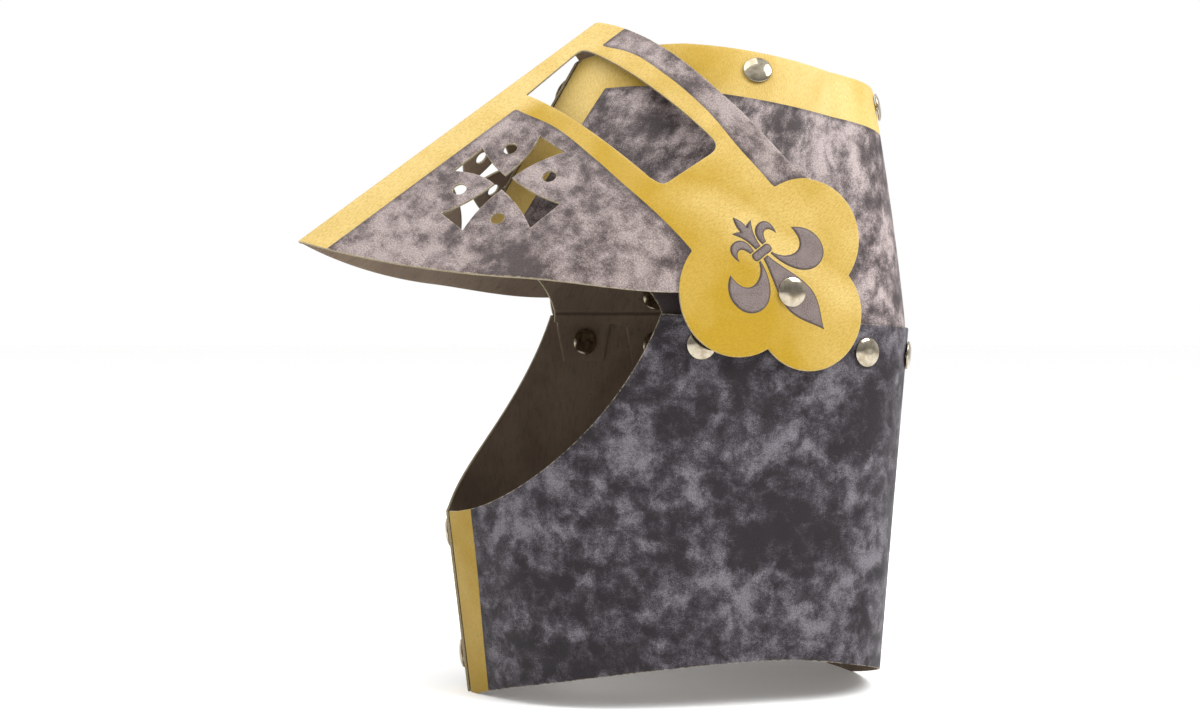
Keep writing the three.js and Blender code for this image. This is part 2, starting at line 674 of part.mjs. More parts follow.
seamRivetAlong.forEach((along, i) => {
  const z = neckTop(along) - SEAM_RIVETS.drop;
  addWallRivet(`seam_rivet_left_${i + 1}`, placeNeck, along, z);
  addWallRivet(`seam_rivet_right_${i + 1}`, placeNeck, 2 * HALF - along, z);
});
CROWN_RIVETS.forEach(({ along, z }, i) => {
  addWallRivet(`crown_rivet_left_${i + 1}`, placeSkull, along, z, CAP_R, CROWN_PLATE.air);
  addWallRivet(`crown_rivet_right_${i + 1}`, placeSkull, 2 * HALF - along, z, CAP_R, CROWN_PLATE.air);
});
CHIN_RIVET_Z.forEach((z, i) => {
  addWallRivet(`chin_rivet_${i + 1}`, placeNeck, rightWallU(neckLevel, 0, z, FOLD_RIVET), z, FOLD_CAP_R);
});
BROW_RIVET_Z.forEach((z, i) => {
  addWallRivet(`brow_rivet_${i + 1}`, placeSkull, rightWallU(skullLevel, LAP, z, FOLD_RIVET), z, FOLD_CAP_R);
});

const [pivotX, , pivotZ] = placeVisor(PIVOT.p, PIVOT.v, 0);
const templeInside = Math.abs(placeSkull(pivotAlong().along, pivotZ, CARD)[1]);
for (const [name, side] of [['pivot_rivet_left', -1], ['pivot_rivet_right', 1]]) {
  const mesh = addPiece(name, rivetGeometry(TEMPLE_W - templeInside + PIVOT_SLACK, CAP_R), rivetMaterial);
  mesh.position.set(pivotX, side * TEMPLE_W, pivotZ);
  mesh.quaternion.setFromUnitVectors(new THREE.Vector3(0, 1, 0), new THREE.Vector3(0, side, 0));
}

helmet.position.x = BOX_SHIFT;

export default helmet;
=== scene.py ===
"""Looks of a toy knight helmet: printed fibreboard sheets held by double-cap rivets.

The sheets are laid out flat in millimetres, as they were cut, and then bent into place with the same
formulas as the CAD part. Places in space are in metres, +Z up, the face toward -X.
"""

import math

import bpy
import numpy as np
from mathutils import Matrix, Vector
from mathutils.geometry import delaunay_2d_cdt
from mathutils.kdtree import KDTree


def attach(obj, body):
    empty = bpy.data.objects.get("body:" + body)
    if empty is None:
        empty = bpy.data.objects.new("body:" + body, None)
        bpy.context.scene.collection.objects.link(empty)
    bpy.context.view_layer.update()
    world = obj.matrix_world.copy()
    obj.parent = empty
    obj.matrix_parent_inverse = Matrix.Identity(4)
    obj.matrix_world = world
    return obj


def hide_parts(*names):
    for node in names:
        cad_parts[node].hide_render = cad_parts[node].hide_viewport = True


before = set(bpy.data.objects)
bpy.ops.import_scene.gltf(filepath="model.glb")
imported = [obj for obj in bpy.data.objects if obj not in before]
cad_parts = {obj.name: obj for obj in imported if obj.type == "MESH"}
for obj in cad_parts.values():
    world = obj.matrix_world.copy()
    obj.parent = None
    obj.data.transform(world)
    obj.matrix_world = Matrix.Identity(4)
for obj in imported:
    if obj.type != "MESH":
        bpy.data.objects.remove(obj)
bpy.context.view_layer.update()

# ---------------- driving dimensions, mm, as in the part
CARD = 1.2
GAP = 0.3
LAP = CARD + GAP
BOX_SHIFT = 5.64
MM = 0.001

LEVEL_KEYS = "front fold front_reach side side_reach wide rear_reach back back_reach".split()
BOTTOM = dict(zip(LEVEL_KEYS, (-64.5, 73, 46, 62, 100, 73, 36, 109.5, 46)))
SEAM = dict(zip(LEVEL_KEYS, (-83.5, 68, 50, 68, 110, 75, 42, 124.5, 48)))
TOP = dict(zip(LEVEL_KEYS, (-18.5, 76, 14, 80, 36, 46, 24, 113.5, 30)))
SEAM_Z = 153
TOP_Z = 264
CHEEK_BULGE = 1.6

CHIN_Z = 76
CORNER_ALONG, CORNER_Z = 110, 157.5
SEAM_FALL = 0.046
RIM_ARCH = 18.2
RIM_FOOT_FRONT, RIM_FOOT_BACK = 6, 12

BROW_Z = 188
CROWN_FRONT_Z, CROWN_HIGH_Z, CROWN_BACK_Z = 264, 271, 250
FLANGE = 18
FLANGE_TRIM = 3

SHANK_R = 1.8
HOLE_R = 2.6
CAP_R = 6
CAP_RISE = 1.8
SEAM_RIVETS_ALONG = [126 + 36.5 * i for i in range(5)]
SEAM_RIVET_DROP = 11.5
TAB_TOP_HALF, TAB_END_HALF, TAB_START, TAB_REACH = 14, 10.5, 3, 20.5
CHIN_RIVET_Z = [66, 14.5]
BROW_RIVET_Z = [252, 206]
FOLD_RIVET = 10.5
FOLD_CAP_R = 4.2
INNER_HOLE_R = 3.2
INNER_GAP = 1
CROWN_RIVETS = [(117, 258.5), (238, 246)]
PLATE_Z, PLATE_AIR, PLATE_FRONT_CUT, PLATE_FLANGE_END = 237, 0.7, 14, 60
PLATE_TAB_HALF, PLATE_TAB_OVER = 9, 6.5

TIP_X, TIP_Z = -135.9, 187.3
RIDGE_RISE = math.radians(36.5)
RIDGE_LENGTH = 158.9
HALF_ANGLE = math.radians(48)
CHEEK_R = 55
TEMPLE_W = 79.5
PIVOT_P, PIVOT_V = 134, 158
PIVOT_SLACK = 1.2
LOBES = [(115.7, 144.9, 25.5, 216, 97), (135.5, 169.8, 23, 179, -5), (151.2, 144.6, 24.1, 72, -46)]
CROSS_HOLE_R = 2.9
CROSS_HOLES = [(89.5, 28.9), (90.8, 53.2), (62.9, 54.3), (61.9, 30)]
CROSS_TIPS = [(79.1, 38.7), (80.1, 42), (73.4, 43.5), (73.2, 38.8)]
CROSS_ARMS = [(0, [(102.2, 32.9), (103.3, 47.8)]), (1, [(84.8, 67.8), (68.6, 68.4)]),
              (0, [(49.5, 48.4), (49, 34.5)]), (1, [(66.1, 20), (82, 19.6)])]

# ---------------- the wall's shape
FOLD_BLEND = 12  # this near the front fold, distances are true on every level
SEAM_STEPS = 600
NEAR_STEP, NEAR_STEPS = 0.002, 80


def cubic(a, b, c, d, t):
    s = 1 - t
    return s ** 3 * a + 3 * s * s * t * b + 3 * s * t * t * c + t ** 3 * d


def lerp(a, b, k):
    return a + (b - a) * k


def mix_levels(a, b, k):
    return {key: lerp(a[key], b[key], k) for key in a}


def neck_level(z):
    return mix_levels(BOTTOM, SEAM, z / SEAM_Z)


def skull_level(z):
    k = np.maximum(0, (z - SEAM_Z) / (TOP_Z - SEAM_Z))
    low = neck_level(z)
    high = mix_levels(SEAM, TOP, k)
    high["wide"] = lerp(SEAM["wide"], TOP["wide"], k ** CHEEK_BULGE)
    return {key: np.where(z <= SEAM_Z, low[key], high[key]) for key in low}


def plan_point(level, t):
    """Half plan of one level: t is 0 at the front fold, 0.5 at the widest place and 1 at the back."""
    fold = np.radians(level["fold"])
    front, side, wide, back = level["front"], level["side"], level["wide"], level["back"]
    k = np.clip(2 * t, 0, 1)
    reach = level["front_reach"]
    x = cubic(front, front + reach * np.cos(fold), side - level["side_reach"], side, k)
    w = cubic(0, reach * np.sin(fold), wide, wide, k)
    k = np.clip(2 * t - 1, 0, 1)
    x_rear = cubic(side, side + level["rear_reach"], back, back, k)
    w_rear = cubic(wide, wide, level["back_reach"], 0, k)
    return np.where(t < 0.5, x, x_rear), np.where(t < 0.5, w, w_rear)


def plan_tangent(level, t):
    step = 1e-4
    xa, wa = plan_point(level, np.maximum(0, t - step))
    xb, wb = plan_point(level, np.minimum(1, t + step))
    length = np.hypot(xb - xa, wb - wa)
    return (xb - xa) / length, (wb - wa) / length


SEAM_T = np.linspace(0, 1, SEAM_STEPS + 1)
seam_x, seam_w = plan_point(SEAM, SEAM_T)
SEAM_DISTANCE = np.concatenate([[0], np.cumsum(np.hypot(np.diff(seam_x), np.diff(seam_w)))])
HALF = SEAM_DISTANCE[-1]


def param_at(along):
    return np.interp(along, SEAM_DISTANCE, SEAM_T)


def param_near_fold(level, distance):
    """t at a true distance from the front fold, on any level; used close to the fold only."""
    t = np.arange(NEAR_STEPS) * NEAR_STEP
    spread = {key: np.asarray(value, float)[..., None] for key, value in level.items()}
    x, w = plan_point(spread, t)
    travelled = np.cumsum(np.hypot(np.diff(x), np.diff(w)), axis=-1)
    travelled = np.concatenate([np.zeros(travelled.shape[:-1] + (1,)), travelled], axis=-1)
    i = np.clip((travelled < distance[..., None]).sum(-1), 1, NEAR_STEPS - 1)
    before = np.take_along_axis(travelled, i[..., None] - 1, -1)[..., 0]
    after = np.take_along_axis(travelled, i[..., None], -1)[..., 0]
    return NEAR_STEP * (i - 1 + (distance - before) / (after - before))


def part_of(level, mask):
    return {key: np.broadcast_to(value, mask.shape)[mask] for key, value in level.items()}


def wall_place(level_of, inset):
    """Bends a flat wall sheet: u runs from the front fold back along the left side, round the back
    and forward along the right side. Below 0 it is the flange, inside the right wall's front end.
    """
    def place(flat, depth):
        u, z = flat.T
        level = level_of(z)
        fold = np.radians(level["fold"])
        nose = inset / np.tan(fold)
        right, flange = u > HALF, u < -1e-6
        along = np.where(right, 2 * HALF - u, np.maximum(u, 0))
        start = np.where(right, nose, nose + LAP / np.sin(2 * fold))
        t = param_at(along)
        near = (along < FOLD_BLEND) & ~flange
        if near.any():
            first = param_near_fold(part_of(level, near), start[near])
            t[near] = lerp(first, param_at(FOLD_BLEND), along[near] / FOLD_BLEND)
        if flange.any():
            distance = np.maximum(0, nose - u + LAP / np.tan(2 * fold))
            t[flange] = param_near_fold(part_of(level, flange), distance[flange])
        side = np.where(right | flange, 1, -1)
        crease = np.abs(u) <= 1e-6
        inward = inset + np.where(crease, 0, depth) + np.where(flange, LAP, 0)
        x, w = plan_point(level, t)
        dx, dw = plan_tangent(level, t)
        x = x + dw * inward + np.where(crease, depth / np.sin(fold), 0)
        return np.stack([x + BOX_SHIFT, side * (w - dx * inward), z + 0 * x], 1) * MM
    return place


place_neck = wall_place(neck_level, 0)
place_skull = wall_place(skull_level, LAP)

# ---------------- the visor's shape
RIDGE_ROUND = 1.8  # the ridge's fold is rounded over this much on each side
FLAT_V = (TEMPLE_W - CHEEK_R * (1 - math.cos(HALF_ANGLE))) / math.sin(HALF_ANGLE)
BEND_END_V = FLAT_V + CHEEK_R * HALF_ANGLE


def place_visor(flat, depth):
    """Folds the flat visor: flat holds v, the distance from the ridge, and p, the way up along it."""
    v, p = flat.T
    reach = np.abs(v)
    lean = HALF_ANGLE - np.clip((reach - FLAT_V) / CHEEK_R, 0, HALF_ANGLE)
    rounded = np.where(reach < RIDGE_ROUND, (v * v + RIDGE_ROUND ** 2) / (2 * RIDGE_ROUND), reach)
    down = np.minimum(rounded, FLAT_V) * math.cos(HALF_ANGLE)
    down += CHEEK_R * (math.sin(HALF_ANGLE) - np.sin(lean)) + np.maximum(0, reach - BEND_END_V)
    out = np.minimum(reach, FLAT_V) * math.sin(HALF_ANGLE) + CHEEK_R * (np.cos(lean) - math.cos(HALF_ANGLE))
    slope = np.minimum(reach / RIDGE_ROUND, 1) * math.cos(HALF_ANGLE) / math.sin(HALF_ANGLE)
    turn = np.where(reach < RIDGE_ROUND, math.pi / 2 - np.arctan(slope), lean)
    down += depth * np.sin(turn)
    out -= depth * np.cos(turn)
    x = TIP_X + p * math.cos(RIDGE_RISE) + down * math.sin(RIDGE_RISE)
    z = TIP_Z + p * math.sin(RIDGE_RISE) - down * math.cos(RIDGE_RISE)
    return np.stack([x + BOX_SHIFT, np.sign(v) * out, z], 1) * MM


# ---------------- flat outlines
def curve(a, b, c, d, steps=40):
    t = np.linspace(0, 1, steps + 1)[:, None]
    return cubic(*[np.array(point, float) for point in (a, b, c, d)], t)


def curves(start, *others):
    """Curves one after another. Each is given without its first point; a number of steps may follow."""
    starts = [start, *[rest[2] for rest in others]]
    return joined(*[curve(first, *rest) for first, rest in zip(starts, others)])


def joined(*parts):
    """One list of points from several, without the repeated ones where they meet."""
    points = np.concatenate([np.atleast_2d(np.array(part, float)) for part in parts])
    keep = np.ones(len(points), bool)
    keep[1:] = np.linalg.norm(np.diff(points, axis=0), axis=1) > 1e-4
    return points[keep]


HOLE_SIDES = 28


def ring(u, v, radius_u, radius_v=None):
    angle = np.arange(HOLE_SIDES) * 2 * math.pi / HOLE_SIDES
    return np.stack([u + radius_u * np.cos(angle), v + (radius_v or radius_u) * np.sin(angle)], 1)


def other_side(points):
    return [2 * HALF, 0] + points[::-1] * [-1, 1]


def both_sides(along):
    """u on the left wall and on the right wall."""
    return along, 2 * HALF - along


def neck_top(along):
    return CORNER_Z - SEAM_FALL * (along - CORNER_ALONG)


def wall_hole(level_of, u, z, radius):
    """A hole that is round on the bent wall."""
    along, reach = min(u, 2 * HALF - u), 2
    ends = [plan_point(level_of(z), param_at(along + step)) for step in (-reach, reach)]
    scale = math.hypot(ends[1][0] - ends[0][0], ends[1][1] - ends[0][1]) / (2 * reach)
    return ring(u, z, radius / scale, radius)


def right_wall_u(level_of, inset, z, distance):
    """u on the right wall at a true distance from the fold."""
    level = {key: np.array([float(value)]) for key, value in level_of(np.float64(z)).items()}
    nose = inset / np.tan(np.radians(level["fold"]))
    target, first = param_near_fold(level, np.array([distance])), param_near_fold(level, nose)
    along = np.linspace(0, HALF / 2, 4000)
    t = np.where(along >= FOLD_BLEND, param_at(along), lerp(first, param_at(FOLD_BLEND), along / FOLD_BLEND))
    return 2 * HALF - float(np.interp(target, t, along)[0])


def flange_u(level_of, inset, z, distance):
    fold = math.radians(float(level_of(np.float64(z))["fold"]))
    return inset / math.tan(fold) + LAP / math.tan(2 * fold) - distance


def fold_rivet_holes(level_of, inset, z):
    return [wall_hole(level_of, right_wall_u(level_of, inset, z, FOLD_RIVET), z, HOLE_R),
            ring(flange_u(level_of, inset, z, FOLD_RIVET), z, INNER_HOLE_R)]


def seam_rivet_holes(level_of, radius):
    return [wall_hole(level_of, u, neck_top(along) - SEAM_RIVET_DROP, radius)
            for along in SEAM_RIVETS_ALONG for u in both_sides(along)]


def neck_loops():
    arch, foot_end = 160, HALF - RIM_FOOT_BACK
    rim = joined([(0, 0)], curves((RIM_FOOT_FRONT, 0), ((50, 9.9), (105, RIM_ARCH), (arch, RIM_ARCH)),
                                  ((197, RIM_ARCH), (foot_end - 29, 4), (foot_end, 0))))
    chin = curve((0, CHIN_Z), (45, CHIN_Z), (92, 112), (CORNER_ALONG, CORNER_Z))
    outline = joined([(-FLANGE, FLANGE_TRIM)], rim, other_side(rim), other_side(chin)[::-1],
                     [(HALF, neck_top(HALF))], chin[::-1], [(-FLANGE, CHIN_Z - FLANGE_TRIM)])
    holes = seam_rivet_holes(neck_level, HOLE_R)
    for z in CHIN_RIVET_Z:
        holes += fold_rivet_holes(neck_level, 0, z)
    return [outline, *holes]


def pivot_place():
    """u of the left wall where the pivot's axis meets it, and the pivot's height."""
    x, _, z = place_visor(np.array([[-PIVOT_V, PIVOT_P]], float), 0)[0]
    u = np.linspace(100, 250, 3000)
    xs = place_skull(np.stack([u, np.full_like(u, z / MM)], 1), CARD / 2)[:, 0]
    return float(np.interp(x, xs, u)), z / MM


def skull_loops():
    brow = curve((0, BROW_Z), (45, BROW_Z), (88, 182), (CORNER_ALONG - 2, CORNER_Z + 1))
    tabs = []
    for along in SEAM_RIVETS_ALONG:
        top = neck_top(along)
        tabs += [(along - TAB_TOP_HALF, top - TAB_START), (along - TAB_END_HALF, top - TAB_REACH),
                 (along + TAB_END_HALF, top - TAB_REACH), (along + TAB_TOP_HALF, top - TAB_START)]
    lower = joined(brow, [(CORNER_ALONG, CORNER_Z - TAB_START)], tabs)
    crown = curves((0, CROWN_FRONT_Z), ((25, CROWN_FRONT_Z + 2), (45, CROWN_HIGH_Z), (70, CROWN_HIGH_Z)),
                   ((110, CROWN_HIGH_Z - 2), (200, 254), (HALF, CROWN_BACK_Z)))
    outline = joined([(-FLANGE, BROW_Z + FLANGE_TRIM)], lower, other_side(lower),
                     other_side(crown)[::-1], crown[::-1], [(-FLANGE, CROWN_FRONT_Z - FLANGE_TRIM)])
    holes = seam_rivet_holes(skull_level, INNER_HOLE_R)
    for along, z in CROWN_RIVETS:
        holes += [wall_hole(skull_level, u, z, HOLE_R) for u in both_sides(along)]
    for z in BROW_RIVET_Z:
        holes += fold_rivet_holes(skull_level, LAP, z)
    along, z = pivot_place()
    holes += [wall_hole(skull_level, u, z, INNER_HOLE_R) for u in both_sides(along)]
    return [outline, *holes]


def lobe_arc(p, v, radius, start, end):
    """The part of one of the rosette's circles that shows, from one angle to another in degrees."""
    angle = np.radians(np.linspace(start, end, 40))
    return np.stack([p + radius * np.cos(angle), v + radius * np.sin(angle)], 1)


def visor_half():
    """One half's outline as p and v: up the face edge, round the three lobes, back down to the ridge."""
    return joined(curve((0, 0), (20, 48), (60, 104.5), (94.6, 129.4)),
                  *[lobe_arc(*lobe) for lobe in LOBES],
                  curves((167.8, 127.2), ((159.5, 113), (168, 75), (168.5, 45)),
                         ((168.5, 25), (165.5, 10), (RIDGE_LENGTH, 0))))


def eye_slot():
    return joined(curve((112.7, 10.3), (117, 24), (119, 50), (117.5, 85)),
                  curve((118, 88), (118.4, 91), (119.5, 91.6), (122, 91.8), 8),
                  curve((142, 93.4), (145, 93.6), (147, 92.4), (147.8, 89), 8),
                  curve((147.8, 89), (150.2, 70), (151.8, 40), (147.6, 17)),
                  curve((147, 14), (146, 9.8), (145, 8), (141, 8.2), 8))


def cross_cut():
    """Cross with four flared arms; the tongues between the arms almost meet in the middle."""
    parts = []
    for i, (axis, ends) in enumerate(CROSS_ARMS):
        flanks = []
        for tip, end in zip((CROSS_TIPS[i], CROSS_TIPS[(i + 1) % 4]), ends):
            tip, end = np.array(tip, float), np.array(end, float)
            leaving, arriving = tip.copy(), end.copy()
            leaving[axis] = lerp(tip[axis], end[axis], 0.4)
            arriving[axis] = lerp(end[axis], tip[axis], 0.3)
            arriving[1 - axis] = lerp(end[1 - axis], tip[1 - axis], 0.6)
            flanks.append(curve(tip, leaving, arriving, end, 16))
        parts += [flanks[0], flanks[1][::-1]]
    return joined(*parts)[:-1]


def swapped(points, side=1):
    """From p and v to the flat coordinates v and p of one side."""
    return points[:, ::-1] * [side, 1]


def visor_loops():
    half = visor_half()
    loops = [joined(swapped(half), swapped(half[1:-1][::-1], -1))]
    for side in (-1, 1):
        loops += [swapped(cut, side) for cut in (eye_slot(), cross_cut())]
        loops += [ring(side * v, p, CROSS_HOLE_R) for p, v in CROSS_HOLES]
        loops.append(ring(side * PIVOT_V, PIVOT_P, HOLE_R))
    return loops


# ---------------- the lily on the temples
LILY_P, LILY_V = 132.9, 138  # middle of its band
LILY_LEAN = 0.095


def lily_loops():
    """Its petals, band, curls and top spray, as closed outlines in p and v."""
    def petal(side):
        outline = curves((3.6, 2.1), ((6, 9.5), (17.5, 12), (16.2, -1)), ((20, 1), (22.8, 5), (22.6, 9.5)),
                         ((22.4, 15.5), (18.5, 18.4), (14.2, 18.2)), ((8, 17.9), (3.6, 10), (2.6, 2.1)))
        return outline * [side, 1]

    def curl(side):
        outline = curves((2.3, -2.6), ((1.4, -7.5), (3.6, -10.6), (7, -10.4)),
                         ((10.6, -10.2), (11.2, -6), (9.8, -2.6)), ((8.9, -7.6), (5.2, -8), (4.3, -2.6)))
        return outline * [side, 1]

    spine = curves((1.2, 2.1), ((2.6, 10), (6.6, 17), (6.6, 24)), ((6.4, 31), (2, 35.5), (0, 40.7)))
    spray = curves((1.3, -2.6), ((1.6, -6), (2, -9), (5, -13.4), 14),
                   ((3.4, -13.4), (2.2, -12.6), (1.7, -12), 6), ((2, -14.5), (1, -17), (0, -18.6), 12))
    band = joined(curve((4.6, -0.2), (4.6, 1), (4, 1.7), (3, 1.7), 6), [(0, 1.5)])
    band_low = joined([(0, -2.2)], curve((3, -2.2), (4, -2.2), (4.6, -1.4), (4.6, -0.2), 6))
    half_band = joined(band_low, band)
    closed = [joined(shape, shape[::-1] * [-1, 1]) for shape in (spine, spray, half_band)]
    shapes = [petal(1), petal(-1), curl(1), curl(-1), *closed]
    placed = []
    for shape in shapes:
        across, down = shape.T
        points = np.stack([LILY_P + across + LILY_LEAN * down, LILY_V + down], 1)
        if np.linalg.norm(points[0] - points[-1]) < 1e-4:
            points = points[:-1]
        placed.append(points)
    return placed


# ---------------- meshes from flat shapes
EDGE_ROLL = 0.14  # the outer and inner faces fall away this much at a cut edge
ROLL_WIDTH = 0.55
MARK_STEP = 0.6  # spacing of points in and along a raised mark
MARK_BAND = 0.5  # a band of triangles this wide runs on both sides of a mark's outline
MARK_SHOULDER = 0.9  # a mark reaches its full height this far inside its outline


def refined(loop, step):
    """A closed loop with no stretch longer than step."""
    points = []
    for a, b in zip(loop, np.roll(loop, -1, axis=0)):
        count = max(1, math.ceil(np.linalg.norm(b - a) / step))
        points += [lerp(a, b, i / count) for i in range(count)]
    return np.array(points)


def segments_of(loops):
    starts = np.concatenate(loops)
    ends = np.concatenate([np.roll(loop, -1, axis=0) for loop in loops])
    return starts, ends


def is_inside(points, loops):
    """Even-odd test of each point against closed loops."""
    starts, ends = segments_of(loops)
    result = np.zeros(len(points), bool)
    for first in range(0, len(points), 2000):
        x, y = points[first:first + 2000].T[:, :, None]
        crosses = (starts[:, 0] <= x) != (ends[:, 0] <= x)
        run = np.where(ends[:, 0] == starts[:, 0], 1, ends[:, 0] - starts[:, 0])
        height = starts[:, 1] + (x - starts[:, 0]) / run * (ends[:, 1] - starts[:, 1])
        result[first:first + 2000] = (crosses & (height < y)).sum(1) % 2 == 1
    return result


def grid_inside(loops, step):
    """Grid points inside the loops; one grid column runs through 0."""
    starts, ends = segments_of(loops)
    low, high = starts.min(0), starts.max(0)
    rows = np.arange(math.ceil(low[1] / step), math.floor(high[1] / step) + 1) * step
    kept = []
    for i in range(math.ceil(low[0] / step), math.floor(high[0] / step) + 1):
        x = i * step + 1e-7
        crosses = (starts[:, 0] <= x) != (ends[:, 0] <= x)
        a, b = starts[crosses], ends[crosses]
        heights = np.sort(a[:, 1] + (x - a[:, 0]) / (b[:, 0] - a[:, 0]) * (b[:, 1] - a[:, 1]))
        inside = np.searchsorted(heights, rows) % 2 == 1
        kept.append(np.stack([np.full(inside.sum(), i * step), rows[inside]], 1))
    return np.concatenate(kept)


def distance_to(points, loops):
    """Distance of each point to the nearest of the loops' own lines."""
    samples = np.concatenate([refined(loop, 0.3) for loop in loops])
    tree = KDTree(len(samples))
    for i, (x, y) in enumerate(samples):
        tree.insert((x, y, 0), i)
    tree.balance()
    return np.array([tree.find((x, y, 0))[2] for x, y in points])


def inner_ring(loops, offset):
    """Points at one distance inside the loops' lines, on whichever side is solid."""
    points = []
    for loop in loops:
        along = np.roll(loop, -1, axis=0) - np.roll(loop, 1, axis=0)
        normal = np.stack([-along[:, 1], along[:, 0]], 1)
        normal /= np.maximum(np.linalg.norm(normal, axis=1), 1e-9)[:, None]
        points += [loop + offset * normal, loop - offset * normal]
    return np.concatenate(points)


def triangulated(loops, step, marks=()):
    """Cuts a flat shape into triangles. marks are closed outlines drawn on it, which the triangles
    follow. Gives points, triangles, which triangles lie inside a mark, and both sets of outlines.
    """
    loops = [refined(loop, step) for loop in loops]
    marks = [refined(mark, MARK_STEP) for mark in marks]
    rim = inner_ring(loops, ROLL_WIDTH)
    rim = rim[is_inside(rim, loops)]
    extra = [rim[distance_to(rim, loops) > 0.85 * ROLL_WIDTH]]
    grid = grid_inside(loops, step)
    grid = grid[distance_to(grid, loops) > ROLL_WIDTH + 0.4 * step]
    if marks:
        grid = grid[distance_to(grid, marks) > MARK_BAND + 0.4]
        band = inner_ring(marks, MARK_BAND)
        band = band[distance_to(band, marks) > 0.8 * MARK_BAND]
        fine = grid_inside(marks, MARK_STEP)
        fine = fine[distance_to(fine, marks) > 0.8 * MARK_BAND + 0.3]
        extra += [points[distance_to(points, loops) > ROLL_WIDTH + 0.2] for points in (band, fine)]
    on_crease = loops[0][np.abs(loops[0][:, 0]) < 1e-6][:, 1]
    crease = np.zeros((0, 2))
    if len(on_crease):
        heights = np.linspace(on_crease.min(), on_crease.max(), max(2, round(np.ptp(on_crease) / step)))
        crease = np.stack([np.zeros_like(heights), heights], 1)
        grid = grid[np.abs(grid[:, 0]) > 1e-6]
    edges, count = [], 0
    for loop in (*loops, *marks):
        edges += [(count + i, count + (i + 1) % len(loop)) for i in range(len(loop))]
        count += len(loop)
    edges += [(count + i, count + i + 1) for i in range(len(crease) - 1)]
    points = np.concatenate([*loops, *marks, crease, grid, *extra])
    out = delaunay_2d_cdt([Vector(point) for point in points], edges, [], 0, 1e-5)
    flat, triangles = np.array([list(point) for point in out[0]]), np.array(out[2])
    border = sum(len(loop) for loop in loops)
    on_border = np.array([not source or min(source) < border for source in out[3]])
    unsure = on_border[triangles].all(1)
    solid = ~unsure
    solid[unsure] = is_inside(flat[triangles[unsure]].mean(1), loops)
    triangles = triangles[solid]
    marked = is_inside(flat[triangles].mean(1), marks) if marks else np.zeros(len(triangles), bool)
    return flat, triangles, marked, loops, marks


def add_values(mesh, name, values):
    kind, key = ("FLOAT_VECTOR", "vector") if values.ndim == 2 else ("FLOAT", "value")
    attribute = mesh.attributes.new(name, kind, "POINT")
    attribute.data.foreach_set(key, values.astype(np.float32).ravel())


def scene_object(name, data):
    obj = bpy.data.objects.new(name, data)
    bpy.context.scene.collection.objects.link(obj)
    return obj


def new_object(name, vertices, faces, materials, indices=None):
    mesh = bpy.data.meshes.new(name)
    mesh.from_pydata([tuple(v) for v in vertices], [], [tuple(f) for f in faces])
    for material in materials:
        mesh.materials.append(material)
    if indices is not None:
        mesh.polygons.foreach_set("material_index", indices)
    mesh.polygons.foreach_set("use_smooth", [True] * len(mesh.polygons))
    mesh.update()
    return scene_object(name, mesh)


OUTER, INNER, CUT, LILY = range(4)
SHARP = math.radians(38)
FACE_SHIFT = 40.0  # keeps the inner face's texture apart from the outer one's


def bent_sheet(name, shape, place, materials, gold=None, clouds=None, relief=0, painted_shade_below=0):
    """A closed sheet of board. The outer face may carry a gold print and a raised mark.

    Cut edges lower than painted_shade_below get the inner face's darker colour, as painted shade for edges
    that sit in shadow inside the neck.
    """
    flat, triangles, marked, loops, marks = shape
    used = np.unique(triangles)
    renumber = np.zeros(len(flat), int)
    renumber[used] = np.arange(len(used))
    flat, triangles = flat[used], renumber[triangles]
    count = len(flat)
    values = {"edge": distance_to(flat, loops)}
    roll = EDGE_ROLL * np.clip(1 - values["edge"] / (0.9 * ROLL_WIDTH), 0, 1) ** 2
    raised = 0
    if relief:
        values["mark"] = np.minimum(distance_to(flat, marks), 3)
        shoulder = np.where(is_inside(flat, marks), values["mark"], 0) / MARK_SHOULDER
        raised = relief * np.sin(np.clip(shoulder, 0, 1) * math.pi / 2)
    if clouds:
        values["cloud"] = clouds(flat)
    if gold:
        values["gold"], values["pale"] = gold(flat)
    outer = place(flat, roll - raised)
    inner = place(flat, CARD - roll)
    a, b, c = outer[triangles.T]
    facing = np.cross(b - a, c - a)
    if (facing * (outer - inner)[triangles[:, 0]]).sum() < 0:
        triangles = triangles[:, ::-1]
    sides = np.concatenate([triangles[:, [0, 1]], triangles[:, [1, 2]], triangles[:, [2, 0]]])
    code = sides[:, 0] * count + sides[:, 1]
    free = sides[~np.isin(code, sides[:, 1] * count + sides[:, 0])]
    walls = np.stack([free[:, 1], free[:, 0], free[:, 0] + count, free[:, 1] + count], 1)
    faces = [*triangles.tolist(), *(triangles[:, ::-1] + count).tolist(), *walls.tolist()]
    # Edges below that height take the darker inner colour as painted shade.
    cut = np.where(flat[free[:, 0], 1] < painted_shade_below, INNER, CUT)
    indices = np.concatenate([np.where(marked, LILY, OUTER), np.full(len(triangles), INNER), cut])
    obj = new_object(name, np.concatenate([outer, inner]), faces, materials, indices)
    obj.data.set_sharp_from_angle(angle=SHARP)
    faces_apart = np.repeat([0.0, FACE_SHIFT], count)
    add_values(obj.data, "flat", np.column_stack([np.concatenate([flat, flat]), faces_apart]))
    for key, value in values.items():
        add_values(obj.data, key, np.concatenate([value, value]))
    return obj


# ---------------- where the gold is printed
def smooth_line(points):
    """Values of a smooth line through a few points, as a function of the first coordinate."""
    at, height = np.array(points, float).T
    slope = np.gradient(height, at)

    def value(x):
        x = np.clip(x, at[0], at[-1])
        i = np.clip(np.searchsorted(at, x) - 1, 0, len(at) - 2)
        run = at[i + 1] - at[i]
        a, b = height[i], height[i + 1]
        return cubic(a, a + slope[i] * run / 3, b - slope[i + 1] * run / 3, b, (x - at[i]) / run)
    return value


